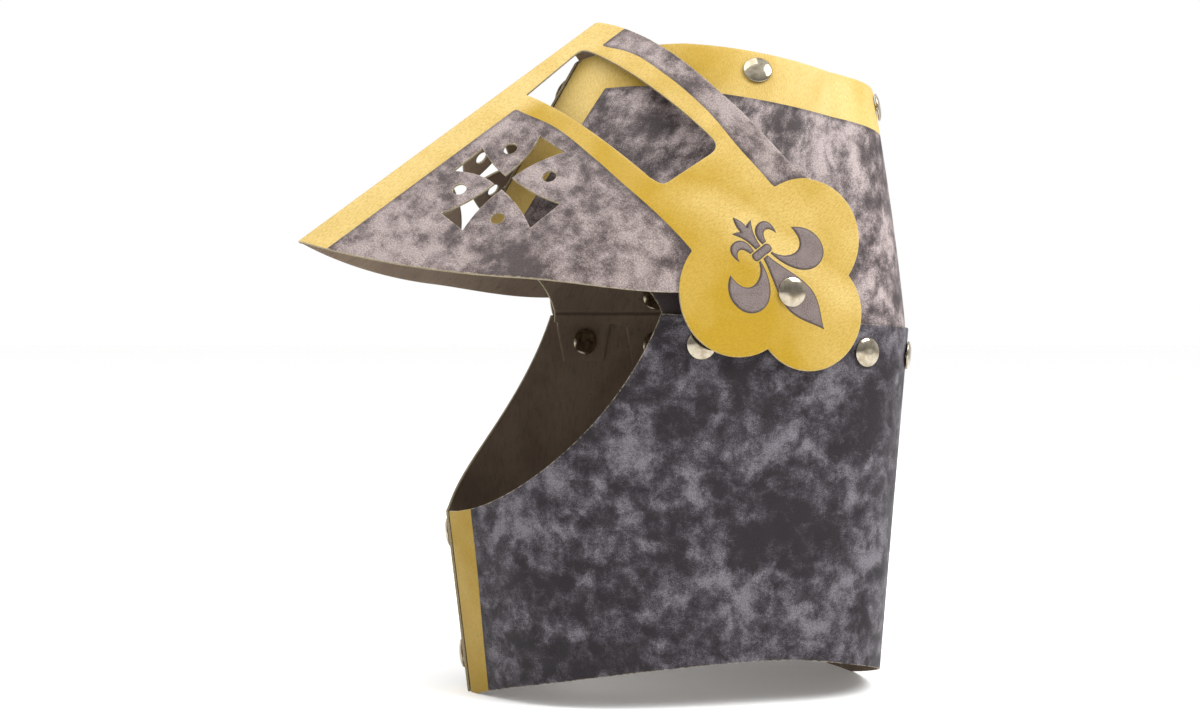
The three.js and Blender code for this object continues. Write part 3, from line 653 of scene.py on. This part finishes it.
chin_strip = smooth_line([(0, 17), (30, 17.5), (52, 18.2), (76, 18)])
brow_strip = smooth_line([(150, 22), (198, 28.2), (236, 36.8), (275, 46)])
crown_band = smooth_line([(20, 250.6), (63, 252.2), (105, 247.9), (190, 238.4), (290, 227)])
RIDGE_STRIPE = 13.3
eye_band_low = smooth_line([(0, 104.3), (13, 104.8), (33, 109.1), (60, 109.2), (86, 108), (125, 109.6)])
eye_band_high = smooth_line([(0, 150), (13.4, 151.9), (24, 156.4), (48, 158.4), (73, 156.7), (100, 152.4),
                             (122, 152.7)])
PRINTED_OVER = 0.3  # the printed rosette runs this much past its outline


def smooth_rise(value, low, high):
    share = np.clip((value - low) / (high - low), 0, 1)
    return share * share * (3 - 2 * share)


def from_fold(flat):
    return np.minimum(np.abs(flat[:, 0]), 2 * HALF - flat[:, 0])


def clouds_at(*spots):
    """Darker (above 0) or lighter round each spot: along, up, radius in mm and strength."""
    def value(flat):
        away = [np.hypot(flat[:, 0] - x, flat[:, 1] - y) / radius for x, y, radius, _ in spots]
        return sum(spot[3] * np.exp(-a * a) for a, spot in zip(away, spots))
    return value


neck_clouds = clouds_at((101, 96, 13, -0.09), (41, 71, 12, -0.09), (142, 43, 11, -0.1), (187, 41, 12, -0.06),
                        (209, 57, 9, -0.09), (166, 75, 18, 0.09), (63, 24, 20, 0.06), (126, 119, 13, 0.09),
                        (109, 60, 11, 0.05), (198, 114, 12, 0.07))
# The last skull spot, at the corner above the neck under the visor's rosette, is painted shadow. The other
# spots are print clouds.
skull_clouds_and_shadow = clouds_at((69, 233, 9, 0.07), (54, 246, 7, -0.06), (90, 232, 9, -0.03),
                         (176, 225, 22, -0.12), (147, 239, 12, 0.07), (227, 214, 14, 0.08),
                         (259, 164, 12, -0.07), (112, 161, 14, 0.35))
visor_clouds = clouds_at((-77, 53, 14, 0.2), (-31, 30, 18, -0.08), (-109, 96, 11, -0.03),
                         (-84, 91, 9, 0.13), (-58, 92, 9, -0.05), (-61, 165, 9, 0.06), (-33, 161, 8, -0.07),
                         (-107, 161, 9, -0.06))


def neck_gold(flat):
    """How far inside the gold each place is, and how pale the gold is there."""
    return chin_strip(flat[:, 1]) - from_fold(flat), np.full(len(flat), 0.25)


def skull_gold(flat):
    along = from_fold(flat)
    inside = np.maximum(brow_strip(flat[:, 1]) - along, flat[:, 1] - crown_band(along))
    # The skull gold's paleness is painted light: paler toward the back and near the front fold, where the
    # brow strip is lit through the eye slot.
    return inside, 0.2 + 0.7 * smooth_rise(along, 75, 125) + 0.7 * smooth_rise(-along, -60, -30)


def visor_gold(flat):
    v, p = np.abs(flat[:, 0]), flat[:, 1]
    band = np.minimum(p - eye_band_low(v), eye_band_high(v) - p)
    band = np.where(v < 125, band, -9)
    lobes = [radius + PRINTED_OVER - np.hypot(p - at_p, v - at_v) for at_p, at_v, radius, *_ in LOBES]
    # The visor gold's paleness is painted sheen: a painted highlight along the ridge, paler higher up the
    # temples, and a painted highlight streak across the rosette.
    across = ((p - 128) * 53 - (v - 112) * 22) / 57.4
    painted_highlight_streak = np.exp(-(across / 10) ** 2) * smooth_rise(v, 88, 108)
    pale = np.maximum.reduce([smooth_rise(-v, -24, -9), 0.6 * smooth_rise(p, 112, 156), painted_highlight_streak])
    return np.maximum.reduce([RIDGE_STRIPE - v, band, *lobes]), pale


# ---------------- materials
def put(tree, socket, value):
    """A value for a socket: another socket, a number or nothing."""
    if isinstance(value, bpy.types.NodeSocket):
        tree.links.new(value, socket)
    elif value is not None:
        socket.default_value = value


def add_node(tree, kind, inputs, output=0, **settings):
    """A new node's output. The inputs have their names or numbers."""
    node = tree.nodes.new("ShaderNode" + kind)
    for key, value in settings.items():
        setattr(node, key, value)
    for key, value in inputs.items():
        put(tree, node.inputs[key], value)
    return node.outputs[output]


class Finish:
    """A Principled material and short calls for its nodes."""

    def __init__(self, name, roughness=0.6, metallic=0.0, specular=0.5):
        self.material = bpy.data.materials.new(name)
        self.material.use_nodes = True
        self.tree = self.material.node_tree
        self.set("Roughness", roughness)
        self.set("Metallic", metallic)
        self.set("Specular IOR Level", specular)

    def set(self, name, value):
        put(self.tree, self.tree.nodes["Principled BSDF"].inputs[name], value)

    def math(self, operation, *operands, clamp=False):
        return add_node(self.tree, "Math", dict(enumerate(operands)), operation=operation, use_clamp=clamp)

    def weighted(self, start, *terms):
        """Start, and value times weight of each term."""
        for value, weight in terms:
            start = self.math("MULTIPLY_ADD", value, weight, start)
        return start

    def value_of(self, attribute):
        return add_node(self.tree, "Attribute", {}, "Fac", attribute_name=attribute)

    def flat(self, attribute="flat", scale=(1, 1, 1), turn=0.0):
        """Flat coordinates in mm, or the object's own in mm where there are none."""
        if attribute:
            vector = add_node(self.tree, "Attribute", {}, "Vector", attribute_name=attribute)
        else:
            vector = add_node(self.tree, "TexCoord", {}, "Object")
            scale = tuple(s / MM for s in scale)
        inputs = {"Vector": vector, "Scale": scale, "Rotation": (0, 0, turn)}
        return add_node(self.tree, "Mapping", inputs, "Vector")

    def noise(self, vector, size, detail=3.0, roughness=0.5, distortion=0.0):
        """Noise between 0 and 1 with blobs of about size mm."""
        inputs = {"Vector": vector, "Scale": 1 / size, "Detail": detail, "Roughness": roughness,
                  "Distortion": distortion}
        return add_node(self.tree, "TexNoise", inputs, "Fac")

    def step(self, value, low, high, to_low=0.0, to_high=1.0):
        inputs = dict(enumerate((value, low, high, to_low, to_high)))
        return add_node(self.tree, "MapRange", inputs, interpolation_type="SMOOTHSTEP")

    def mix(self, factor, a, b, blend="MIX"):
        inputs = {"Factor": factor, 6: a, 7: b}
        return add_node(self.tree, "Mix", inputs, 2, data_type="RGBA", blend_type=blend)

    def bump(self, height, distance, strength=1.0, under=None):
        inputs = {"Height": height, "Distance": distance * MM, "Strength": strength, "Normal": under}
        return add_node(self.tree, "Bump", inputs, "Normal")


def rgb(red, green, blue):
    """An sRGB colour, 0 to 255, as the linear one that a shader takes."""
    share = np.array([red, green, blue]) / 255
    linear = np.where(share <= 0.04045, share / 12.92, ((share + 0.055) / 1.055) ** 2.4)
    return (*linear.tolist(), 1.0)


def printed_grey(finish, flat, light, middle, dark, cloud_at, seed):
    """Sprayed metal look: soft clouds of dark over light, their edges broken into fine grains."""
    place = add_node(finish.tree, "VectorMath", {0: flat, 1: (seed, seed * 1.7, 0)}, operation="ADD")
    cloud, patch = finish.noise(place, 20, 3, 0.5, 0.5), finish.noise(place, 6.5, 2, 0.5, 0.3)
    speck, grain = finish.noise(place, 1.5, 2, 0.6), finish.noise(place, 0.5, 1, 0.6)
    # The sheet's "cloud" value adds its print clouds, and on the skull also one spot of painted shadow.
    total = finish.weighted(-0.22, (cloud, 0.55), (patch, 0.45), (finish.value_of("cloud"), 1.0),
                            (speck, 0.2), (grain, 0.24))
    base = finish.mix(finish.step(total, cloud_at - 0.15, cloud_at + 0.03), rgb(*light), rgb(*middle))
    clouded = finish.mix(finish.step(total, cloud_at - 0.03, cloud_at + 0.13), base, rgb(*dark))
    stipple = finish.step(finish.noise(place, 0.65, 2, 0.75), 0.34, 0.66, 1.3, 0.7)
    return finish.mix(1.0, clouded, stipple, "MULTIPLY")


GOLD = rgb(168, 135, 24)
# Pale gold: the colour that painted sheen and the random wash move the gold toward.
GOLD_PALE = rgb(203, 176, 106)
GOLD_DEEP = rgb(136, 104, 12)


def printed_gold(finish, flat, painted_light_factor):
    """Gold ink with the board's fibres in it, paler where the sheet's "pale" value and a random wash say so.
    The last argument scales it as painted light or shade.
    """
    wash = finish.step(finish.noise(flat, 30, 2, 0.5), 0.3, 0.7, -0.25, 0.25)
    fibre = finish.noise(finish.flat(scale=(1.6, 0.6, 1), turn=0.7), 0.95, 2, 0.75)
    pale = finish.math("ADD", finish.value_of("pale"), wash, clamp=True)
    colour = finish.mix(pale, GOLD, GOLD_PALE)
    colour = finish.mix(finish.step(fibre, 0.38, 0.72, 0, 0.46), colour, GOLD_DEEP)
    return finish.mix(1.0, colour, (painted_light_factor, painted_light_factor, painted_light_factor, 1), "MULTIPLY")


def board_print(name, light, middle, dark, cloud_at, seed, gold_painted_light_factor):
    """Outer face of a sheet: grey clouds, gold where the print has it, wear along cut edges. The last
    argument scales the gold as painted light or shade.
    """
    finish = Finish(name, specular=0.28)
    flat = finish.flat()
    grey = printed_grey(finish, flat, light, middle, dark, cloud_at, seed)
    gold_distance = finish.value_of("gold")
    shadow = finish.step(gold_distance, -2.2, -0.2, 0, 0.5)
    grey = finish.mix(shadow, grey, rgb(40, 34, 36))
    is_gold = finish.step(gold_distance, -0.12, 0.12)
    colour = finish.mix(is_gold, grey, printed_gold(finish, flat, gold_painted_light_factor))
    chips = finish.step(finish.noise(flat, 1.6, 3, 0.7), 0.42, 0.62)
    wear = finish.math("MULTIPLY", finish.step(finish.value_of("edge"), 0.05, 0.5, 1, 0), chips)
    colour = finish.mix(finish.math("MULTIPLY", wear, 0.7), colour, rgb(176, 164, 140))
    finish.set("Base Color", colour)
    rough = finish.step(finish.noise(flat, 14, 3, 0.6), 0.3, 0.7, 0.5, 0.66)
    finish.set("Roughness", finish.math("SUBTRACT", rough, finish.math("MULTIPLY", is_gold, 0.08)))
    wave = finish.bump(finish.noise(flat, 16, 2, 0.5), 0.35, 0.5)
    finish.set("Normal", finish.bump(finish.noise(flat, 0.75, 2, 0.65), 0.13, 0.8, wave))
    return finish.material


def lily_print():
    finish = Finish("lily_print", specular=0.4)
    flat = finish.flat()
    grain = finish.noise(flat, 0.55, 2, 0.65)
    wash = finish.noise(flat, 6, 2, 0.5)
    colour = finish.mix(finish.step(grain, 0.35, 0.65), rgb(122, 108, 104), rgb(84, 72, 70))
    colour = finish.mix(finish.step(wash, 0.3, 0.7, 0, 0.4), colour, rgb(130, 118, 114))
    inside = finish.value_of("mark")
    # Dark band just inside the lily's outline: painted shade standing in for the shading of its raised edge.
    colour = finish.mix(finish.step(inside, 0.15, 0.9, 0.8, 0), colour, rgb(42, 33, 33))
    finish.set("Base Color", colour)
    finish.set("Roughness", finish.step(wash, 0.3, 0.7, 0.52, 0.64))
    shoulder = finish.bump(finish.step(inside, 0, 1.1), 0.45)
    finish.set("Normal", finish.bump(grain, 0.06, 0.6, shoulder))
    return finish.material


def raw_board(name="raw_board", attribute="flat", score=None):
    """Bare inner side: grey-brown, with fibres, small specks and a scored line at one height, dented and
    painted darker along it as shade in its groove.
    """
    finish = Finish(name, specular=0.25)
    flat = finish.flat(attribute)
    fibre = finish.noise(finish.flat(attribute, scale=(1, 0.22, 1), turn=0.05), 1.1, 3, 0.65)
    patch = finish.noise(flat, 24, 3, 0.55)
    speck = finish.noise(flat, 0.9, 1, 0.5)
    colour = finish.mix(finish.step(patch, 0.3, 0.7), rgb(122, 106, 91), rgb(138, 122, 105))
    colour = finish.mix(finish.step(fibre, 0.45, 0.75, 0, 0.5), colour, rgb(98, 86, 74))
    colour = finish.mix(finish.step(speck, 0.68, 0.76, 0, 0.5), colour, rgb(70, 60, 52))
    finish.set("Roughness", finish.step(patch, 0.3, 0.7, 0.78, 0.9))
    normal = finish.bump(fibre, 0.08, 0.6)
    if score:
        height = add_node(finish.tree, "SeparateXYZ", {0: flat}, "Y")
        away = finish.math("ABSOLUTE", finish.math("SUBTRACT", height, score))
        # The scored line's darker colour is painted shade in its groove; the bump gives the real dent.
        colour = finish.mix(finish.step(away, 0.2, 1.1, 0.55, 0), colour, rgb(70, 58, 48))
        normal = finish.bump(finish.step(away, 0, 1.3), 0.5, 1.0, normal)
    finish.set("Base Color", colour)
    finish.set("Normal", normal)
    return finish.material


def cut_edge():
    """Die-cut edge: pale felted fibres."""
    finish = Finish("cut_edge", specular=0.2)
    flat = finish.flat(None)
    fibre = finish.noise(flat, 0.5, 3, 0.7)
    patch = finish.noise(flat, 9, 2, 0.5)
    colour = finish.mix(finish.step(fibre, 0.35, 0.7), rgb(160, 150, 126), rgb(114, 103, 80))
    colour = finish.mix(finish.step(patch, 0.4, 0.7, 0, 0.35), colour, rgb(110, 100, 80))
    finish.set("Base Color", colour)
    finish.set("Roughness", finish.step(fibre, 0.3, 0.7, 0.8, 0.95))
    finish.set("Normal", finish.bump(fibre, 0.08, 0.8))
    return finish.material


def nickel():
    """Plated caps: warm bright metal with faint handling marks."""
    finish = Finish("nickel", metallic=1.0)
    place = finish.flat(None)
    haze = finish.noise(place, 3.5, 3, 0.6)
    scratch = finish.noise(finish.flat(None, scale=(0.25, 1, 3)), 0.5, 2, 0.6)
    colour = finish.mix(finish.step(haze, 0.35, 0.7), rgb(176, 167, 150), rgb(142, 130, 110))
    finish.set("Base Color", colour)
    rough = finish.step(haze, 0.3, 0.75, 0.1, 0.18)
    finish.set("Roughness", finish.math("ADD", rough, finish.step(scratch, 0.62, 0.72, 0, 0.06)))
    finish.set("Normal", finish.bump(haze, 0.02, 0.2))
    return finish.material


raw = raw_board()
raw_tab = raw_board("raw_board_tab", None)
skull_raw = raw_board("skull_raw", score=SEAM_Z + 5.5)
edge_material = cut_edge()
# The last number scales each sheet's gold as painted light: darker on the neck as painted shade, because it
# leans in and faces down, and a little lighter on the skull.
visor_print = board_print("visor_print", (148, 135, 132), (108, 96, 94), (64, 54, 54), 0.52, 11, 1.0)
skull_print = board_print("skull_print", (162, 149, 147), (106, 95, 95), (58, 49, 50), 0.485, 47, 1.04)
# The neck's greys are darker than the other sheets' greys. This is partly the neck's own violet-grey print
# and partly painted shade, because it leans in and faces down.
neck_print = board_print("neck_print", (104, 100, 106), (60, 55, 61), (27, 21, 26), 0.475, 83, 0.74)
nickel_material = nickel()

# ---------------- sheets
NECK_STEP, SKULL_STEP, VISOR_STEP, PLATE_STEP = 1.7, 1.5, 1.2, 2.0
SIDE_NAMES = ("left", "right")


def keep(obj, body, slot, *nodes):
    """The piece rides a body and stands for CAD nodes."""
    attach(obj, body)
    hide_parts(*nodes)


neck = bent_sheet("neck_board", triangulated(neck_loops(), NECK_STEP), place_neck,
                  [neck_print, raw, edge_material], neck_gold, neck_clouds)
keep(neck, "shell", "neck_board", "neck_sheet")

skull = bent_sheet("skull_board", triangulated(skull_loops(), SKULL_STEP), place_skull,
                   [skull_print, skull_raw, edge_material], skull_gold, skull_clouds_and_shadow, painted_shade_below=SEAM_Z - 1)
keep(skull, "shell", "skull_board", "skull_sheet")

lilies = [swapped(loop, side) for side in (-1, 1) for loop in lily_loops()]
visor = bent_sheet("visor_board", triangulated(visor_loops(), VISOR_STEP, lilies), place_visor,
                   [visor_print, raw, edge_material, lily_print()], visor_gold, visor_clouds, relief=0.4)
keep(visor, "visor", "visor_board", "visor_sheet")


# ---------------- crown plate
TAB_BEND_R = 2.4
TAB_CORNER_R = 3


def plate_edge(along, side, extra=0.0):
    """A point of the plate's edge, in mm, further in by extra."""
    depth = LAP + CARD + PLATE_AIR + CARD / 2 + (LAP if along < PLATE_FLANGE_END else 0) + extra
    level = skull_level(np.float64(PLATE_Z))
    t = param_at(along)
    x, w = plan_point(level, t)
    dx, dw = plan_tangent(level, t)
    return np.array([x + dw * depth, side * (w - dx * depth)], float)


def tab_gap(along):
    return any(abs(along - at) <= PLATE_TAB_HALF for at, _ in CROWN_RIVETS)


def plate_outline():
    rows = np.linspace(PLATE_FRONT_CUT, HALF, 150)
    marks = [at + end * PLATE_TAB_HALF for at, _ in CROWN_RIVETS for end in (-1.001, -0.999, 0.999, 1.001)]
    rows = sorted([*rows, *marks])
    left, right = ([plate_edge(a, side, TAB_BEND_R if tab_gap(a) else 0) for a in rows] for side in (-1, 1))
    return joined(left, right[::-1])


def place_plate(flat, depth):
    x, y = flat.T
    return np.stack([x + BOX_SHIFT, y, PLATE_Z + CARD - depth + 0 * x], 1) * MM


def crown_tab(name, u, z_rivet):
    """A tab that leaves the plate, bends up and lies against the skull's wall."""
    top = z_rivet + PLATE_TAB_OVER
    middle_r = TAB_BEND_R + CARD / 2
    across = np.linspace(-1, 1, 19)
    bend = np.linspace(0, math.pi / 2, 9)
    rise = np.linspace(PLATE_Z + TAB_BEND_R, top, 26)[1:] + CARD / 2
    sheets = []
    for inset in (0.0, CARD):  # the side next to the wall, then the other
        radius = middle_r - inset
        z = np.concatenate([PLATE_Z + middle_r - radius * np.cos(bend), rise])
        inward = np.concatenate([middle_r - radius * np.sin(bend), np.full(len(rise), inset)])
        corner = np.clip((z - top) / TAB_CORNER_R + 1, 0, 1)
        reach = PLATE_TAB_HALF - TAB_CORNER_R * (1 - np.sqrt(1 - corner ** 2))
        flat = np.stack([u + np.outer(reach, across), np.outer(z, np.ones_like(across))], -1)
        depth = PLATE_AIR + CARD + np.repeat(inward, len(across))
        sheets.append(place_skull(flat.reshape(-1, 2), depth))
    size = len(sheets[0])
    grid = np.arange(size).reshape(-1, len(across))
    front = np.stack([grid[:-1, :-1], grid[:-1, 1:], grid[1:, 1:], grid[1:, :-1]], -1).reshape(-1, 4)
    rim = np.concatenate([grid[0], grid[1:, -1], grid[-1, -2::-1], grid[-2:0:-1, 0]])
    ahead = np.roll(rim, -1)
    walls = np.stack([ahead, rim, rim + size, ahead + size], 1)
    faces = np.concatenate([front, front[:, [0, 3, 2, 1]] + size, walls]).tolist()
    return new_object(name, np.concatenate(sheets), faces, [raw_tab])


plate_shape = triangulated([plate_outline()], PLATE_STEP)
plate = bent_sheet("crown_board", plate_shape, place_plate, [raw, raw, edge_material])
keep(plate, "shell", "raw_board", "crown_plate")
for i, (along, height) in enumerate(CROWN_RIVETS, 1):
    for side_name, u in zip(SIDE_NAMES, both_sides(along)):
        tab = crown_tab(f"crown_tab_{side_name}_{i}", u, height)
        keep(tab, "shell", "raw_board", "crown_plate")

# ---------------- rivets
RIVET_SIDES = 48
RIM_R = 0.42  # radius of a cap's rolled rim


def cap_profile(radius, base, rise):
    """Half section of a cap from its underside to its top: rolled rim, then a shallow dome."""
    points = [(radius - 1.6 * RIM_R, 0.05)]
    for angle in np.radians(np.linspace(-80, 60, 8)):
        points.append((radius - RIM_R + RIM_R * math.cos(angle), RIM_R + RIM_R * math.sin(angle)))
    edge_r, edge_height = points[-1]
    for share in 1 - np.linspace(0.04, 1, 14):
        points.append((edge_r * share, lerp(abs(rise), edge_height, share ** 3.2)))
    return [(r, base + math.copysign(height, rise)) for r, height in points]


def rivet_mesh(name, stack, inner_r, origin, normal):
    inside = -stack - INNER_GAP
    outer = cap_profile(CAP_R, GAP, CAP_RISE)
    inner = cap_profile(inner_r, inside, -CAP_RISE * inner_r / CAP_R)
    profile = [*inner[::-1], (SHANK_R, inside - 0.05), (SHANK_R, GAP + 0.05), *outer]
    turn = Vector((0, 0, 1)).rotation_difference(Vector(normal)).to_matrix()
    place = Matrix.Translation(Vector(origin)) @ turn.to_4x4()
    vertices, rings = [], []
    for r, y in profile:
        sides = RIVET_SIDES if r > 1e-6 else 1
        rings.append(list(range(len(vertices), len(vertices) + sides)))
        for angle in np.arange(sides) * 2 * math.pi / sides:
            vertices.append(place @ (Vector((r * math.cos(angle), r * math.sin(angle), y)) * MM))
    faces = []
    for low, high in zip(rings, rings[1:]):
        for k in range(RIVET_SIDES):
            n = k + 1
            corners = (low[k % len(low)], low[n % len(low)], high[n % len(high)], high[k % len(high)])
            faces.append(tuple(dict.fromkeys(corners)))  # three corners next to a cap's middle
    obj = new_object(name, vertices, faces, [nickel_material])
    obj.data.set_sharp_from_angle(angle=SHARP)
    return obj


def wall_rivet(node, place, u, z, inner_r=CAP_R, air=GAP):
    reach = 1.5
    spots = np.array([[u, z], [u + reach, z], [u - reach, z], [u, z + reach], [u, z - reach]], float)
    middle, right, left, up, low = place(spots, np.zeros(5))
    inward = (place(spots[:1], np.ones(1))[0] - middle) / MM
    normal = np.cross(right - left, up - low)
    normal /= np.linalg.norm(normal)
    if normal @ inward > 0:
        normal = -normal
    stack = (2 * CARD + air) * -(normal @ inward)
    keep(rivet_mesh(node + "_metal", stack, inner_r, middle, normal), "shell", "rivet", node)


for i, along in enumerate(SEAM_RIVETS_ALONG, 1):
    for side_name, u in zip(SIDE_NAMES, both_sides(along)):
        wall_rivet(f"seam_rivet_{side_name}_{i}", place_neck, u, neck_top(along) - SEAM_RIVET_DROP)
for i, (along, height) in enumerate(CROWN_RIVETS, 1):
    for side_name, u in zip(SIDE_NAMES, both_sides(along)):
        wall_rivet(f"crown_rivet_{side_name}_{i}", place_skull, u, height, CAP_R, PLATE_AIR)
for i, height in enumerate(CHIN_RIVET_Z, 1):
    at = right_wall_u(neck_level, 0, height, FOLD_RIVET)
    wall_rivet(f"chin_rivet_{i}", place_neck, at, height, FOLD_CAP_R)
for i, height in enumerate(BROW_RIVET_Z, 1):
    at = right_wall_u(skull_level, LAP, height, FOLD_RIVET)
    wall_rivet(f"brow_rivet_{i}", place_skull, at, height, FOLD_CAP_R)
pivot_u, pivot_z = pivot_place()
temple_inside = abs(place_skull(np.array([[pivot_u, pivot_z]]), np.array([CARD]))[0][1]) / MM
pivot_x = place_visor(np.array([[PIVOT_V, PIVOT_P]], float), 0)[0][0]
for side_name, side in zip(SIDE_NAMES, (-1, 1)):
    node = f"pivot_rivet_{side_name}"
    origin = (pivot_x, side * TEMPLE_W * MM, pivot_z * MM)
    metal = rivet_mesh(node + "_metal", TEMPLE_W - temple_inside + PIVOT_SLACK, CAP_R, origin, (0, side, 0))
    keep(metal, "shell", "rivet", node)


# ---------------- floor, light and camera
def floor():
    """A wide pale disc, finer toward the middle."""
    rings, sides, radius = 24, 96, 14.0
    vertices, faces = [(0, 0, 0)], []
    angles = np.arange(sides) * 2 * math.pi / sides
    for r in radius * (np.arange(1, rings + 1) / rings) ** 2:
        vertices += [(r * math.cos(angle), r * math.sin(angle), 0) for angle in angles]
    for k in range(sides):
        n = (k + 1) % sides
        faces.append((0, 1 + k, 1 + n))
        for a in range(1, (rings - 1) * sides, sides):
            faces.append((a + k, a + sides + k, a + sides + n, a + n))
    finish = Finish("pale_floor", 0.75, specular=0.2)
    place = finish.flat(None, scale=(0.01, 0.01, 0.01))
    tint = finish.noise(place, 1.5, 2, 0.5)
    finish.set("Base Color", finish.mix(tint, (0.93, 0.93, 0.925, 1), (0.9, 0.9, 0.895, 1)))
    finish.set("Emission Color", (1, 1, 1, 1))
    finish.set("Emission Strength", 0.12)
    new_object("floor", vertices, faces, [finish.material])


def aimed(obj, location, direction):
    obj.location = location
    obj.rotation_mode = "QUATERNION"
    obj.rotation_quaternion = Vector(direction).to_track_quat("-Z", "Y")


def area_light(name, location, size, watts):
    """A square light, aimed at the middle of the helmet."""
    light = bpy.data.lights.new(name, "AREA")
    light.shape = "RECTANGLE"
    light.size = light.size_y = size
    light.energy = watts
    middle = Vector((0, 0, 0.15))
    aimed(scene_object(name, light), location, middle - Vector(location))


def studio():
    """A bright back and ceiling, a dimmer front, and two soft lights from above."""
    world = bpy.data.worlds.new("studio")
    world.use_nodes = True
    tree = world.node_tree
    direction = add_node(tree, "TexCoord", {}, "Generated")
    height = add_node(tree, "VectorMath", {0: direction, 1: (0, 0.75, 1.0)}, "Value", operation="DOT_PRODUCT")
    ranges = {0: height, 1: -0.75, 2: 0.55, 3: 0.35, 4: 1.0}
    fade = add_node(tree, "MapRange", ranges, interpolation_type="SMOOTHSTEP")
    put(tree, tree.nodes["Background"].inputs["Color"], fade)
    bpy.context.scene.world = world
    area_light("key_light", (0.9, -0.9, 1.4), 1.0, 30)
    area_light("top_light", (-0.4, 0.1, 1.7), 1.4, 16)
    bpy.context.scene.view_settings.view_transform = "Standard"


def camera():
    """The eye is level with the seam, to the front left, and looks very slightly down."""
    yaw, pitch = math.radians(20), math.radians(1.0026)
    data = bpy.data.cameras.new("camera")
    data.lens, data.sensor_width = 60, 36
    data.clip_start, data.clip_end = 0.05, 60
    eye = ((BOX_SHIFT - 297.45) * MM, -0.80164, SEAM_Z * MM)
    look = (math.sin(yaw) * math.cos(pitch), math.cos(yaw) * math.cos(pitch), -math.sin(pitch))
    obj = scene_object("camera", data)
    aimed(obj, eye, look)
    bpy.context.scene.camera = obj


floor()
studio()
camera()

bpy.context.view_layer.update()
